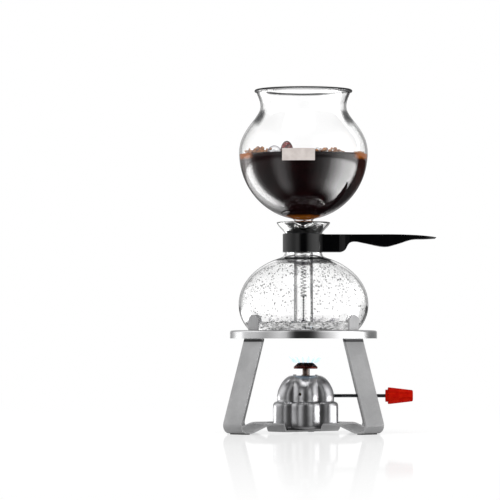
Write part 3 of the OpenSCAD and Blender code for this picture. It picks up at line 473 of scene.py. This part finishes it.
def ball(bm, centre, size, squash=1.0, detail=2, lean=None):
    # a small sphere, flattened along lean
    made = bmesh.ops.create_icosphere(bm, subdivisions=detail, radius=size)["verts"]
    if lean is not None:
        bmesh.ops.scale(bm, verts=made, vec=(1, 1, squash))
        turn = Vector((0, 0, 1)).rotation_difference(Vector(lean)).to_matrix()
        bmesh.ops.rotate(bm, verts=made, cent=(0, 0, 0), matrix=turn)
    bmesh.ops.translate(bm, verts=made, vec=centre)
    return made


def lookUp(path, height):
    # the radius of a path at a height
    for (r0, z0), (r1, z1) in zip(path, path[1:]):
        if min(z0, z1) <= height <= max(z0, z1) and z0 != z1:
            return r0 + (r1 - r0) * (height - z0) / (z1 - z0)
    return path[-1][0]


# camera: metres, degrees, and the lens in millimetres

view = {"distance": 3.98, "height": 0.1135, "up": 1.52, "left": 0.924, "lens": 238.8, "sensor": 36,
    "clip": 60}


def setCamera():
    camera = addObject("camera", bpy.data.cameras.new("camera"))
    camera.data.lens = view["lens"]
    camera.data.sensor_width = view["sensor"]
    camera.data.clip_end = view["clip"]
    camera.location = (place["glassAxis"] * mm, -view["distance"], view["height"])
    camera.rotation_euler = (math.radians(90 + view["up"]), 0, math.radians(view["left"]))
    bpy.context.scene.camera = camera


print("setting the camera")
setCamera()


# glass

glass = {"wall": 2.2,
    "lowFlat": 25, "lowFoot": 50, "lowWide": 77.8, "lowBase": 115, "lowMiddle": 153.4, "lowVault": 60.2,
    "footBend": (0.35, 23.04), "vaultEnd": 68.43,
    "shoulder": ((28.6, 209.38), (23.4, 211.2), (22.3, 213.5), (22.3, 216.88)),
    "flare": ((22.3, 238.38), (22.3, 241.8), (30.5, 246.5), (32, 251.98)), "lip": (1.1, 0.75, 0.2),
    "spoutHalf": 11.0, "spoutDrop": 5.6, "spoutOut": 3.0, "spoutHeights": (241.5, 251.5),
    "tubeOut": 11.2, "tubeWall": 1.8, "tubeTop": 252.9, "tubeFoot": 130.98,
    "bowlFoot": ((11.2, 252.98), (11.2, 255.28), (12.4, 256.4), (14, 256.78)), "bowlStart": -79.55,
    "highWide": 77.2, "highMiddle": 335.94, "highLow": 80.5, "sideBend": 27.75,
    "waist": 51.5, "waistBends": (377.6, 398.6), "waistHeight": 391.44,
    "rim": 56.9, "rimBend": (55.4, 404.8), "rimHeight": 410.0, "bead": 1.9, "beadTurns": (-35, 215)}


def lowPath():
    g = glass
    out, down = g["footBend"]
    drop = g["lowWide"] - g["lowFoot"]
    return joined(
        [(0, g["lowBase"]), (g["lowFlat"], g["lowBase"])],
        bezier((g["lowFoot"], g["lowBase"]), (g["lowFoot"] + out * drop, g["lowBase"]),
            (g["lowWide"], g["lowMiddle"] - down), (g["lowWide"], g["lowMiddle"]), 20),
        arc((0, g["lowMiddle"]), g["lowWide"], g["lowVault"], 0, g["vaultEnd"], 28),
        bezier(*g["shoulder"], 10),
        bezier(*g["flare"], 12))


def highPath():
    g = glass
    under, over = g["waistBends"]
    waist, rim = (g["waist"], g["waistHeight"]), (g["rim"], g["rimHeight"])
    return joined(
        bezier(*g["bowlFoot"], 6),
        arc((0, g["highMiddle"]), g["highWide"], g["highLow"], g["bowlStart"], 0, 36),
        bezier((g["highWide"], g["highMiddle"]), (g["highWide"], g["highMiddle"] + g["sideBend"]),
            (g["waist"], under), waist, 20),
        bezier(waist, (g["waist"], over), g["rimBend"], rim, 10))


def makeLowerGlobe():
    outer = lowPath()
    across, up, sunk = glass["lip"]
    lip = arc((outer[-1][0] - across, outer[-1][1] - sunk), across, up, 0, 180, 6)
    bm = spun(joined(outer, lip, reversed(inside(outer, glass["wall"]))))
    for point in bm.verts:
        # the lip is drawn out and down into a spout at the front
        near = max(0.0, 1 - abs(point.co.x) / glass["spoutHalf"])
        pull = near * smoothStep(point.co.z, *glass["spoutHeights"])
        if point.co.y < 0:
            point.co.z -= glass["spoutDrop"] * pull
            point.co.y -= glass["spoutOut"] * pull
    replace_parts(settle("lower_globe_glass", bm, "lowGlass", "carafe"), "lower_globe")


def makeUpperGlobe():
    outer = highPath()
    inner = inside(outer, glass["wall"])
    centre = (glass["rim"], glass["rimHeight"])
    bead = arc(centre, glass["bead"], glass["bead"], *glass["beadTurns"], 14)
    bm = spun(joined(outer[:-1], bead, reversed(inner[:-1])), closed=True)
    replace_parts(settle("upper_globe_glass", bm, "glass", "funnel"), "upper_globe")


def makeTube():
    g = glass
    bore = g["tubeOut"] - g["tubeWall"]
    half = g["tubeWall"] / 2
    foot = arc((g["tubeOut"] - half, g["tubeFoot"] + half), half, half, -180, 0, 8)
    bm = spun(joined(foot, [(g["tubeOut"], g["tubeTop"]), (bore, g["tubeTop"])]), 96, closed=True)
    tube = settle("siphon_tube_glass", bm, "tubeGlass", "funnel", sharp=40)
    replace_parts(tube, "siphon_tube")


print("blowing the glass")
makeLowerGlobe()
makeUpperGlobe()
makeTube()


# coffee and froth

brew = {"overlap": 0.6, "level": 332.4, "foot": 257.2, "flat": 30,
    # how the surface climbs the glass and dips again, from its edge and level
    "climb": ((0, -1.2), (0, -0.2), (0.02, 0.9), (0, 1.3)),
    "dip": ((-0.2, 1.2), (-1.2, 0.2), (-2.4, 0), (-5, 0))}


def makeCoffee():
    # it reaches a little into the glass, so that no gap shows between the two
    level = brew["level"]
    wallPath = inside(highPath(), glass["wall"] - brew["overlap"])
    side = [p for p in wallPath if brew["foot"] < p[1] < level + brew["climb"][0][1]]
    edge = side[-1][0]
    climb = bezier(*((edge + out, level + up) for out, up in brew["climb"]), 4)
    dip = bezier(*((edge + out, level + up) for out, up in brew["dip"]), 5)
    bm = spun(joined([(0, side[0][1])], side, climb, dip, [(brew["flat"], level), (0, level)]))
    settle("coffee", bm, "coffee", "funnel")


froth = {"seed": 11, "sizes": (0.7, 0.9, 1.1, 1.4, 1.9, 2.4), "fromEdge": 0.8, "spread": 9,
    "heaps": {  # first and last angle, bubbles, tallest heap
        "amberFilm": [(200, 236, 79, 6.5), (282, 312, 64, 5.0), (338, 352, 19, 3.0), (60, 130, 26, 3.5)],
        "clearFilm": [(236, 262, 23, 3.0), (268, 290, 23, 3.2)]},
    "domes": {  # finish, place across and deep, radius, how tall
        "froth_large": ("redFilm", -19.5, -58, 8.0, 1.8), "froth_wide": ("clearFilm", -34, -58, 8.6, 1.05),
        "froth_small": ("clearFilm", 16.5, -68, 4.0, 1.5), "froth_side": ("amberFilm", -50, -48, 4.6, 1.3)}}


def makeFroth():
    random.seed(froth["seed"])
    level = brew["level"]
    edge = lookUp(inside(highPath(), glass["wall"]), level) - froth["fromEdge"]
    for finish, heaps in froth["heaps"].items():
        bm = bmesh.new()
        for first, last, count, heap in heaps:
            middle = math.radians((first + last) / 2)
            for _ in range(count):
                turn = math.radians(random.uniform(first, last))
                size = random.choice(froth["sizes"]) * random.uniform(0.85, 1.15)
                lift = random.random() ** 1.6 * heap * max(0.2, math.cos((turn - middle) * 3.2))
                out = edge - size - random.random() ** 1.5 * froth["spread"]
                height = min(level + size * 0.4 + lift, level + heap)
                ball(bm, (out * math.cos(turn), out * math.sin(turn), height), size)
        settle("froth_" + finish, bm, finish, "funnel")
    for name, (finish, x, y, size, tall) in froth["domes"].items():
        bm = bmesh.new()
        bmesh.ops.create_uvsphere(bm, u_segments=40, v_segments=28, radius=size)
        bmesh.ops.scale(bm, verts=bm.verts, vec=(1, 1, tall))
        bmesh.ops.bisect_plane(bm, geom=bm.verts[:] + bm.edges[:] + bm.faces[:], plane_co=(0, 0, -0.5),
            plane_no=(0, 0, -1), clear_outer=True)
        bmesh.ops.translate(bm, verts=bm.verts, vec=(x, y, level))
        settle(name, bm, finish, "funnel")


print("filling the bowl")
makeCoffee()
makeFroth()


# blank plate on the bowl

plate = {"middle": -5.8, "half": 19.3, "low": 323.0, "high": 337.3, "lift": 0.15, "thick": 0.35,
    "across": 24, "up": 10}


def makePlate():
    outer = highPath()
    bm = bmesh.new()
    bmesh.ops.create_grid(bm, x_segments=plate["across"], y_segments=plate["up"], size=1)
    for point in bm.verts:
        height = plate["low"] + (point.co.y + 1) / 2 * (plate["high"] - plate["low"])
        radius = lookUp(outer, height) + plate["lift"]
        across = plate["middle"] + point.co.x * plate["half"]
        point.co = (across, -math.sqrt(radius ** 2 - across ** 2), height)
    bmesh.ops.recalc_face_normals(bm, faces=bm.faces)
    if bm.faces[0].normal.y > 0:
        bmesh.ops.reverse_faces(bm, faces=bm.faces)
    bmesh.ops.solidify(bm, geom=bm.faces[:], thickness=-plate["thick"])
    bmesh.ops.recalc_face_normals(bm, faces=bm.faces)
    settle("bowl_plate", bm, "plate", "funnel", sharp=40)


print("laying the plate on the bowl")
makePlate()


# drops and water in the lower globe

wet = {"level": 131.4, "gap": 0.12, "wave": 2.4, "seed": 5,
    "rings": (0.94, 0.86, 0.78, 0.7, 0.62, 0.54, 0.46, 0.38, 0.3, 0.2, 0.1, 0)}


def waves(x, y):
    # three crossing swells
    swell = math.sin(x * 0.45 + 1.3 * math.sin(y * 0.21)) + 0.7 * math.sin(y * 0.3 + x * 0.17)
    return swell + 0.4 * math.sin(x * 0.9 - y * 0.5)


def makeWater():
    side = [p for p in inside(lowPath(), glass["wall"] + wet["gap"]) if p[1] < wet["level"]]
    edge = side[-1][0]
    rings = [(edge * share, wet["level"]) for share in wet["rings"]]
    bm = spun(joined([(0, side[0][1])], side, rings), 96)
    for point in bm.verts:
        if point.co.z > wet["level"] - 0.01:
            # the swell dies down towards the glass
            reach = 1 - smoothStep(math.hypot(point.co.x, point.co.y), 0.9 * edge, edge)
            point.co.z += wet["wave"] * waves(point.co.x, point.co.y) * (0.35 + 0.65 * reach) * 0.6
    settle("water_left", bm, "water", "carafe")


beads = {
    # first and last angle, drops, and how far they crowd towards the top
    "patches": ((195, 262, 270, 0.7), (278, 330, 270, 0.7), (0, 360, 360, 0.85)),
    "low": 134, "high": 206, "sizes": (0.42, 0.5, 0.6, 0.7, 0.85, 1.1),
    "inTube": 170, "tubeLow": 172, "tubeLong": 46, "tubeSizes": (0.35, 0.45, 0.6, 0.75),
    "floating": 60, "floatReach": 58, "floatSizes": (0.8, 1.1, 1.5, 2.0)}


def makeDrops():
    # half beads that cling to the glass
    random.seed(wet["seed"])
    wallPath = inside(lowPath(), glass["wall"])[6:]
    bm = bmesh.new()
    for first, last, count, crowd in beads["patches"]:
        for _ in range(count):
            turn = math.radians(random.uniform(first, last))
            height = beads["low"] + (beads["high"] - beads["low"]) * random.random() ** crowd
            size = random.choice(beads["sizes"])
            radius = lookUp(wallPath, height)
            slope = lookUp(wallPath, height + 1) - radius
            lean = Vector((math.cos(turn), math.sin(turn), -slope)).normalized()
            wall = Vector((radius * math.cos(turn), radius * math.sin(turn), height))
            ball(bm, wall - lean * (size * 0.5 + 0.05), size, 0.5, 1, lean)
    settle("water_drops", bm, "drops", "carafe")
    bm = bmesh.new()
    bore = glass["tubeOut"] - glass["tubeWall"]
    for _ in range(beads["inTube"]):
        turn = random.uniform(0, math.tau)
        size = random.choice(beads["tubeSizes"])
        height = beads["tubeLow"] + beads["tubeLong"] * random.random() ** 0.7
        lean = Vector((math.cos(turn), math.sin(turn), 0))
        ball(bm, lean * (bore - size * 0.5 - 0.05) + Vector((0, 0, height)), size, 0.5, 1, lean)
    settle("tube_drops", bm, "drops", "funnel")


def makeBubbles():
    # a few bubbles float on the water
    bm = bmesh.new()
    crest = wet["level"] + wet["wave"]
    for _ in range(beads["floating"]):
        turn, out = random.uniform(0, math.tau), beads["floatReach"] * random.random() ** 0.5
        size = random.choice(beads["floatSizes"])
        spot = (out * math.cos(turn), out * math.sin(turn), crest + random.uniform(0, 2.5))
        ball(bm, spot, size, detail=1)
    settle("water_bubbles", bm, "clearFilm", "carafe")


print("wetting the lower globe")
makeWater()
makeDrops()
makeBubbles()


# burner shells

lobed = {"count": 6, "tankOut": 22.8, "tankRound": 19.2, "tankLow": 6.1, "tankHigh": 37.6,
    "shoulder": 5.0, "foot": 2.4, "base": 3.0, "round": 0.4,
    "hollow": 16.0, "hollowDeep": 2.0, "port": 4.35, "mouth": 25.5,
    "domeOut": 20.0, "domeRound": 16.7, "domeTall": 30.9, "domeWall": 1.0, "neckHole": 3.8,
    "domeSide": ((0, 6), (-0.5, 18.45)), "domeBend": (25, 29.3), "domeTop": 18.4,
    "skirt": ((0.35, 0), (0.1, 0.5), (0, 1.2), (0, 3)), "lobesEnd": (17, 30.5), "lobesFade": 0.55,
    "peep": (-6.7, 46.6, 1.8), "rodHole": (44.4, 2.6), "cutLong": 30, "cutOut": 38}


def lobeRadius(turn, out, size):
    # the radius of six round lobes, each of one size, that stand out from the axis
    step = math.tau / lobed["count"]
    off = turn % step - step / 2
    return out * math.cos(off) + math.sqrt(max(size ** 2 - (out * math.sin(off)) ** 2, 0.0))


def cutBy(piece, cutters):
    # takes cutters, made as pieces of their own, out of a piece
    for cutter in cutters:
        step = piece.modifiers.new("cut", "BOOLEAN")
        step.object = cutter
        step.solver = "EXACT"
    bpy.context.view_layer.update()
    done = bpy.data.meshes.new_from_object(piece.evaluated_get(bpy.context.evaluated_depsgraph_get()))
    piece.modifiers.clear()
    old, piece.data = piece.data, done
    done.name = piece.name
    bpy.data.meshes.remove(old)
    for cutter in cutters:
        bpy.data.objects.remove(cutter)


def makeCutter(radius, length, spot, lie):
    bm = bmesh.new()
    bmesh.ops.create_cone(bm, cap_ends=True, segments=48, radius1=radius, radius2=radius, depth=length,
        matrix=Matrix.Translation(spot) @ Matrix.Rotation(math.radians(90), 4, lie))
    toPlace(bm, "burnerAxis")
    return addMesh("cutter", bm)


def makeTank():
    b = lobed
    low, high, reach = b["tankLow"], b["tankHigh"], b["tankOut"] + b["tankRound"]
    bottom, top = low + b["hollowDeep"], high - b["shoulder"]
    floor = bottom + b["base"]
    hollow = [(b["port"], bottom), (b["hollow"] - b["round"], bottom), (b["hollow"], bottom - b["round"]),
        (b["hollow"], low + 0.3), (b["hollow"] + 0.3, low)]
    foot = arc((reach - b["foot"], low + b["foot"]), b["foot"], b["foot"], -90, 0, 8)
    side = [(reach, low + b["foot"] + i * 3) for i in range(1, 8)]
    shoulder = arc((reach - b["shoulder"], top), b["shoulder"], b["shoulder"], 0, 90, 12)
    mouth = [(b["mouth"] + b["round"], high), (b["mouth"], high - b["round"]), (b["mouth"], floor),
        (b["port"], floor)]
    bm = spun(joined(hollow, foot, side, shoulder, mouth), 180, closed=True)
    for point in bm.verts:
        radius = math.hypot(point.co.x, point.co.y)
        if radius > b["mouth"] + 1:
            # each ring of the outside follows the lobes, drawn in by the shoulder's or foot's round
            turn = math.atan2(point.co.y, point.co.x)
            widen(point, lobeRadius(turn, b["tankOut"], b["tankRound"] - (reach - radius)) / radius)
    bmesh.ops.recalc_face_normals(bm, faces=bm.faces)
    tank = settle("burner_tank_shell", bm, "mirrorSteel", "burner", "burnerAxis", 50)
    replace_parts(tank, "burner_tank")


def makeDome():
    b = lobed
    foot = b["domeOut"] + b["domeRound"]
    low = b["tankHigh"] + 0.05
    high = low + b["domeTall"]
    skirt = [(foot + out, low + up) for out, up in b["skirt"]]
    bend, rise = b["domeBend"]
    side = bezier(*((foot + out, low + up) for out, up in b["domeSide"]), (bend, low + rise),
        (b["domeTop"], high), 26)
    bm = spun(joined(skirt, side, [(14, high + 0.02), (8, high), (b["neckHole"], high)]), 180)
    for point in bm.verts:
        radius = math.hypot(point.co.x, point.co.y)
        out = max(0.0, radius - b["domeRound"])
        if out > 0:
            # the lobes grow shallower towards the top
            turn = math.atan2(point.co.y, point.co.x)
            fadeFrom, fadeTo = b["lobesEnd"]
            deep = 1 - b["lobesFade"] * smoothStep(point.co.z, low + fadeFrom, low + fadeTo)
            wide = lobeRadius(turn, out, b["domeRound"])
            widen(point, (radius + (wide - radius) * deep) / radius)
    bmesh.ops.recalc_face_normals(bm, faces=bm.faces)
    top = max(bm.faces, key=lambda face: face.calc_center_median().z)
    if top.normal.z < 0:
        bmesh.ops.reverse_faces(bm, faces=bm.faces)
    bmesh.ops.solidify(bm, geom=bm.faces[:], thickness=b["domeWall"])
    dome = settle("burner_dome_shell", bm, "mirrorSteel", "burner", "burnerAxis", 50)
    x, z, radius = b["peep"]
    rodHeight, rodRadius = b["rodHole"]
    cutBy(dome, [makeCutter(radius, b["cutLong"], (x, -b["cutOut"], z), "X"),
        makeCutter(rodRadius, b["cutLong"], (b["cutOut"], 0, rodHeight), "Y")])
    dome.data.set_sharp_from_angle(angle=math.radians(50))
    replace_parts(dome, "burner_dome")


print("pressing the burner's shells")
makeTank()
makeDome()


# flames

gas = {"count": 16, "ring": 12.0, "low": 82.5, "long": 12.0, "wide": 1.7, "up": 0.76, "lean": 0.72,
    "seed": 3}


def makeFlames():
    random.seed(gas["seed"])
    bm = bmesh.new()
    for i in range(gas["count"]):
        turn = math.tau * (i + 0.5) / gas["count"]
        length = gas["long"] * random.uniform(0.75, 1.05)
        made = bmesh.ops.create_uvsphere(bm, u_segments=12, v_segments=10, radius=gas["wide"])["verts"]
        for point in made:
            # a drop with a drawn-out tip, bending outwards as it rises
            rise = max(0.0, (point.co.z / gas["wide"] + 1) / 2)
            widen(point, 1 - 0.5 * rise)
            point.co.z = rise * length * gas["up"]
            point.co.x += gas["ring"] + length * gas["lean"] * rise
        bmesh.ops.rotate(bm, verts=made, cent=(0, 0, 0), matrix=Matrix.Rotation(turn, 3, "Z"))
        bmesh.ops.translate(bm, verts=made, vec=(0, 0, gas["low"]))
    settle("gas_flames", bm, "flame", "burner", "burnerAxis")


print("lighting the flames")
makeFlames()


# cap

cap = {"bore": 3.8, "low": 76.7, "wide": 14.3, "brim": 2.3, "high": 84.0, "top": 8.9, "wall": 1.3,
    "edge": 0.8, "brimEdge": 0.7, "slots": 20, "slotDeep": 1.1, "slotEdge": (0.45, 0.75),
    "slotIn": 0.75, "slotDown": 0.6}


def makeCap():
    c = cap
    low, high, wide, top = c["low"], c["high"], c["wide"], c["top"]
    edge, brimEdge = c["edge"], c["brimEdge"]
    brim, inner = low + c["brim"], wide - c["wall"] - edge
    under = [(c["bore"], low), (wide - 1.2, low)]
    lowEdge = arc((wide - edge, low + edge), edge, edge, -90, 0, 5)
    highEdge = arc((wide - brimEdge, brim - 0.5), brimEdge, brimEdge, 0, 50, 4)
    cone = [(wide - (wide - top) * i / 8, brim + (high - low - c["brim"]) * i / 8) for i in range(1, 8)]
    crown = [(top + 0.1, high - 0.35), (top - 0.5, high - 0.05), (top - 1.4, high), (3, high), (0, high)]
    hollow = [(0, high - c["wall"]), (top - 0.8, high - c["wall"]), (inner, brim), (inner, low + c["wall"]),
        (c["bore"], low + c["wall"]), (c["bore"], low)]
    bm = spun(joined(under, lowEdge, [(wide, brim - 0.6)], highEdge, cone, crown, hollow), 160)
    for point in bm.verts:
        # slots run down the cone
        radius = math.hypot(point.co.x, point.co.y)
        onCone = smoothStep(radius, top - 1.2, top - 0.4) * smoothStep(point.co.z, brim, brim + 0.8)
        if onCone > 0 and point.co.z > brim + 0.1 and radius > top - 1.5:
            wave = math.cos(math.atan2(point.co.y, point.co.x) * c["slots"])
            dip = c["slotDeep"] * smoothStep(wave, *c["slotEdge"]) * onCone
            widen(point, 1 - c["slotIn"] * dip / radius)
            point.co.z -= c["slotDown"] * dip
    piece = settle("burner_cap_top", bm, "capCopper", "burner", "burnerAxis", 35)
    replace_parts(piece, "burner_cap")


print("setting the cap")
makeCap()


# knob

knob = {"start": 95.5, "long": 33.0, "collar": 3.0, "collarRadius": 7.3, "wide": 10.1, "narrow": 6.9,
    "height": 44.4, "ring": 0.6, "heel": (1.3, 1.1), "nose": (1.6, 1.7), "flutes": 8, "fluteDeep": 1.25,
    "fluteSoft": 0.8, "bore": 2.05, "blind": 5}


def makeKnob():
    k = knob
    body, collar, long = k["collar"], k["collarRadius"], k["long"]
    wide, narrow, bore = k["wide"], k["narrow"], k["bore"]
    hollow = [(0, long - k["blind"]), (bore, long - k["blind"]), (bore, 0)]
    soft = k["ring"]
    ring = arc((collar - soft, soft), soft, soft, -90, 0, 4)
    out, up = k["heel"]
    heel = arc((wide - out, body + up), out, up, -90, 0, 6)
    side = [(wide + (narrow - wide) * i / 10, body + 1.5 + (long - body - 3.2) * i / 10)
        for i in range(1, 10)]
    out, up = k["nose"]
    nose = arc((narrow - out, long - up), out, up, 0, 90, 7)
    step = [(collar, body - 0.3), (collar + 0.3, body)]
    tip = [(3.5, long - 0.2), (0, long - 0.2)]
    bm = spun(joined(hollow, [(collar - 0.5, 0)], ring, step, heel, side, nose, tip))
    for point in bm.verts:
        # round flutes run the length of the grip
        radius = math.hypot(point.co.x, point.co.y)
        if radius > 3 and point.co.z > body:
            turn = math.atan2(point.co.y, point.co.x)
            dip = max(0.0, math.cos(turn * k["flutes"] + math.pi)) ** k["fluteSoft"]
            grip = smoothStep(radius, 3, 6) / radius * smoothStep(point.co.z, body, body + 0.8)
            widen(point, 1 - k["fluteDeep"] * dip * grip)
    bmesh.ops.rotate(bm, verts=bm.verts, cent=(0, 0, 0), matrix=Matrix.Rotation(math.radians(90), 3, "Y"))
    bmesh.ops.translate(bm, verts=bm.verts, vec=(k["start"], 0, k["height"]))
    piece = settle("control_knob_grip", bm, "redPlastic", "valve", "burnerAxis", 45)
    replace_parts(piece, "control_knob")


print("moulding the knob")
makeKnob()


# filling valve's spring, which shortens as its pin is pressed: here the frame's piece is only made again as
# one smooth coil, at its full length

def makeFillerSpring():
    low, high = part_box("filler_spring")
    joints = {joint["name"]: joint for joint in frame["record"]["behaviour"]["joints"]}
    keep = 1 - joints["filler_press"]["range_m"][1] / (high[2] - low[2])
    bm = bmesh.new()
    bm.from_mesh(nodes["filler_spring"].data)
    bmesh.ops.remove_doubles(bm, verts=bm.verts, dist=0.001 * mm)
    for face in bm.faces:
        face.smooth = True
    piece = addMesh("filler_spring_coil", bm)
    piece.data.materials.append(looks["wireSteel"])
    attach(piece, "burner")
    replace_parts(piece, "filler_spring")
    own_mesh(piece)


print("coiling the filling valve's spring")
makeFillerSpring()


# finishes of the pieces that come from the frame

finishes = {
    "stand_ring": "ringSteel", "lower_strip": "satinSteel", "upper_strip": "satinSteel",
    "cross_rivets": "screwSteel", "foot_pads": "darkRubber", "neck_liner": "darkRubber",
    "collar_band": "blackPlastic", "handle": "blackPlastic", "clamp_screw": "screwSteel",
    "clamp_nut": "screwSteel", "funnel_gasket": "darkRubber", "filter_plate": "palePlastic",
    "filter_mesh": "cloth", "filter_ring": "palePlastic", "filter_pin": "wireSteel",
    "filter_spring": "wireSteel", "filter_chain": "wireSteel", "chain_weight": "rodSteel",
    "tank_seal": "darkRubber", "tank_lid": "brass", "dome_posts": "brass", "dome_screws": "screwSteel",
    "pickup_tube": "brass", "pickup_wick": "felt", "valve_body": "brass", "gland_packing": "felt",
    "gland_nut": "brass", "gas_jet": "brass", "mixing_tube": "neckSteel", "burner_cap": "capCopper",
    "head_clip": "neckSteel", "filler_body": "brass", "filler_seal": "darkRubber",
    "filler_spring": "wireSteel", "filler_pin": "brass", "control_rod": "rodSteel",
    "knob_screw": "screwSteel", "lower_globe": "lowGlass", "upper_globe": "glass",
    "siphon_tube": "tubeGlass", "burner_tank": "mirrorSteel", "burner_dome": "mirrorSteel",
    "control_knob": "redPlastic"}


def dressNodes():
    for name, piece in nodes.items():
        for slot in piece.material_slots:
            slot.material = looks[finishes[name]]


print("dressing the frame's pieces")
dressNodes()


# floor and light

# degrees round from the front and brightness, at the horizon and at the foot of the soft boxes
horizon = [(-180, 1.1), (-170, 1.1), (-160, 0.45), (-150, 0.45), (-120, 1.1), (-100, 1.3), (-80, 1.2),
    (-60, 0.8), (-48, 0.85), (-38, 1.2), (-28, 1.15), (-20, 0.35), (-13, 0.02), (10, 0.02), (18, 0.15),
    (28, 0.8), (38, 1.3), (52, 1.8), (80, 1.85), (100, 1.2), (112, 0.6), (130, 0.4), (160, 0.4), (170, 1.1),
    (180, 1.1)]
below = [(-180, 1.0), (-164, 0.4), (-156, 0.8), (-148, 2.0), (-138, 3.4), (-129, 8.2), (-121, 8.8),
    (-115, 8.6), (-106, 1.4), (-94, 0.35), (-76, 0.25), (-64, 0.25), (-56, 0.7), (-48, 1.2), (-38, 1.1),
    (-30, 0.5), (-20, 0.06), (-10, 0.02), (6, 0.02), (18, 0.15), (34, 0.5), (46, 1.1), (56, 3.3), (66, 5.4),
    (80, 8.4), (108, 8.8), (114, 4.4), (119, 0.1), (150, 0.05), (160, 0.25), (172, 1.0)]
studio = {"ambient": 0.76, "glassGain": 0.14, "over": (0.55, 0.8), "overGlow": 0.28, "panel": (0.9, 0.97),
    "panelGlow": 0.1}
ground = {"size": 30.0, "colour": 0.98, "near": 0.35, "far": 1.9, "clean": 0.55, "gloss": 0.46,
    "grain": 60.0, "shine": (0.03, 0.05), "cloth": 0.02, "clothFrom": (0.02, 0.08),
    "bandsFrom": (0.13, 0.32), "bandsTo": (1.5, 2.6), "bandsEnd": 0.3}
overhead = {"power": 20.0, "size": 1.6, "spot": (-0.25, -0.55, 2.2), "aim": 0.1}
white = (1, 1, 1, 1)


def softBoxes(shop, x, y, bands):
    # tall soft boxes with dark gaps between them, by the way round from the front
    peak = max(value for _, value in bands)
    turn = shop.add("Math", {"operation": "ARCTAN2"}, {0: x, 1: y * -1.0}) * (0.5 / math.pi) + 0.5
    return shop.add("ValToRGB", {"stops": [((a + 180) / 360, v / peak) for a, v in bands]}, {0: turn}) * peak


def bounced(shop):
    # 1 for what is seen in a reflection
    return shop.add("LightPath", output="Glossy Depth").rise(0.0, 1.0)


def makeFloor():
    bm = bmesh.new()
    bmesh.ops.create_grid(bm, x_segments=1, y_segments=1, size=ground["size"])
    floor = addMesh("floor", bm)
    material, shop = newMaterial("floor_white")
    spot = shop.add("TexCoord", output="Object")
    reach = shop.add("VectorMath", {"operation": "LENGTH"}, {0: spot}, "Value")
    far = reach.rise(ground["near"], ground["far"], ground["clean"], 1.0)
    shine = shop.noise(ground["grain"]).rise(0.3, 0.7, *ground["shine"])
    matt = shop.add("BsdfDiffuse", {}, {"Color": (ground["colour"],) * 3 + (1,)})
    gloss = shop.add("BsdfGlossy", {}, {"Color": white, "Roughness": shine})
    near = shop.add("MixShader", {}, {0: ground["gloss"], 1: matt, 2: gloss})
    bright = shop.add("Emission", {}, {"Color": white, "Strength": 1.0})
    plain = shop.add("MixShader", {}, {0: far, 1: near, 2: bright})
    # reflections see the foot of the soft boxes out there, and a dark cloth nearer
    boxes = softBoxes(shop, shop.part(0, spot) - place["glassAxis"] * mm, shop.part(1, spot), below)
    lit = boxes * reach.rise(*ground["bandsFrom"]) * reach.rise(*ground["bandsTo"], 1.0, ground["bandsEnd"])
    cloth = shop.add("Emission", {}, {"Color": lit + ground["cloth"], "Strength": 1.0})
    mirrored = bounced(shop) * reach.rise(*ground["clothFrom"])
    finishWith(shop, shop.add("MixShader", {}, {0: mirrored, 1: plain, 2: cloth}))
    floor.data.materials.append(material)


def makeWorld():
    # plain light on the object; polished metal sees the soft boxes
    world = bpy.data.worlds.new("studio")
    bpy.context.scene.world = world
    world.use_nodes = True
    shop = Shop(world.node_tree)
    way = shop.add("TexCoord", output="Generated")
    x, y, z = (shop.part(i, way) for i in range(3))
    ring = softBoxes(shop, x, y, horizon)
    over = z.rise(*studio["over"])
    panel = z.rise(*studio["panel"])
    seen = ring * (1 - over) + over * studio["overGlow"] + panel * studio["panelGlow"]
    camera = shop.add("LightPath", output="Is Camera Ray")
    mirrored = bounced(shop)
    clear = shop.add("LightPath", output="Is Transmission Ray")
    glossy = shop.add("LightPath", output="Is Glossy Ray").larger(clear)
    plain = camera.larger(clear * (1 - mirrored))
    other = glossy * seen + (1 - glossy) * studio["ambient"]
    strength = plain * (1 + clear * studio["glassGain"]) + (1 - plain) * other
    finishWith(shop, shop.add("Background", {}, {"Color": white, "Strength": strength}), "OutputWorld")


def makeLamp():
    lamp = bpy.data.lights.new("overhead", "AREA")
    lamp.shape = "DISK"
    lamp.size = overhead["size"]
    lamp.energy = overhead["power"]
    piece = addObject("overhead", lamp)
    piece.location = overhead["spot"]
    aim = Vector((place["glassAxis"] * mm, 0, overhead["aim"])) - piece.location
    piece.rotation_euler = aim.to_track_quat("-Z", "Y").to_euler()
    piece.visible_glossy = False


print("lighting the scene")
makeFloor()
makeWorld()
makeLamp()
scene = bpy.context.scene
scene.view_settings.view_transform = "Standard"
scene.cycles.max_bounces = 20
scene.cycles.transmission_bounces = 18
scene.cycles.transparent_max_bounces = 18

print("finished")
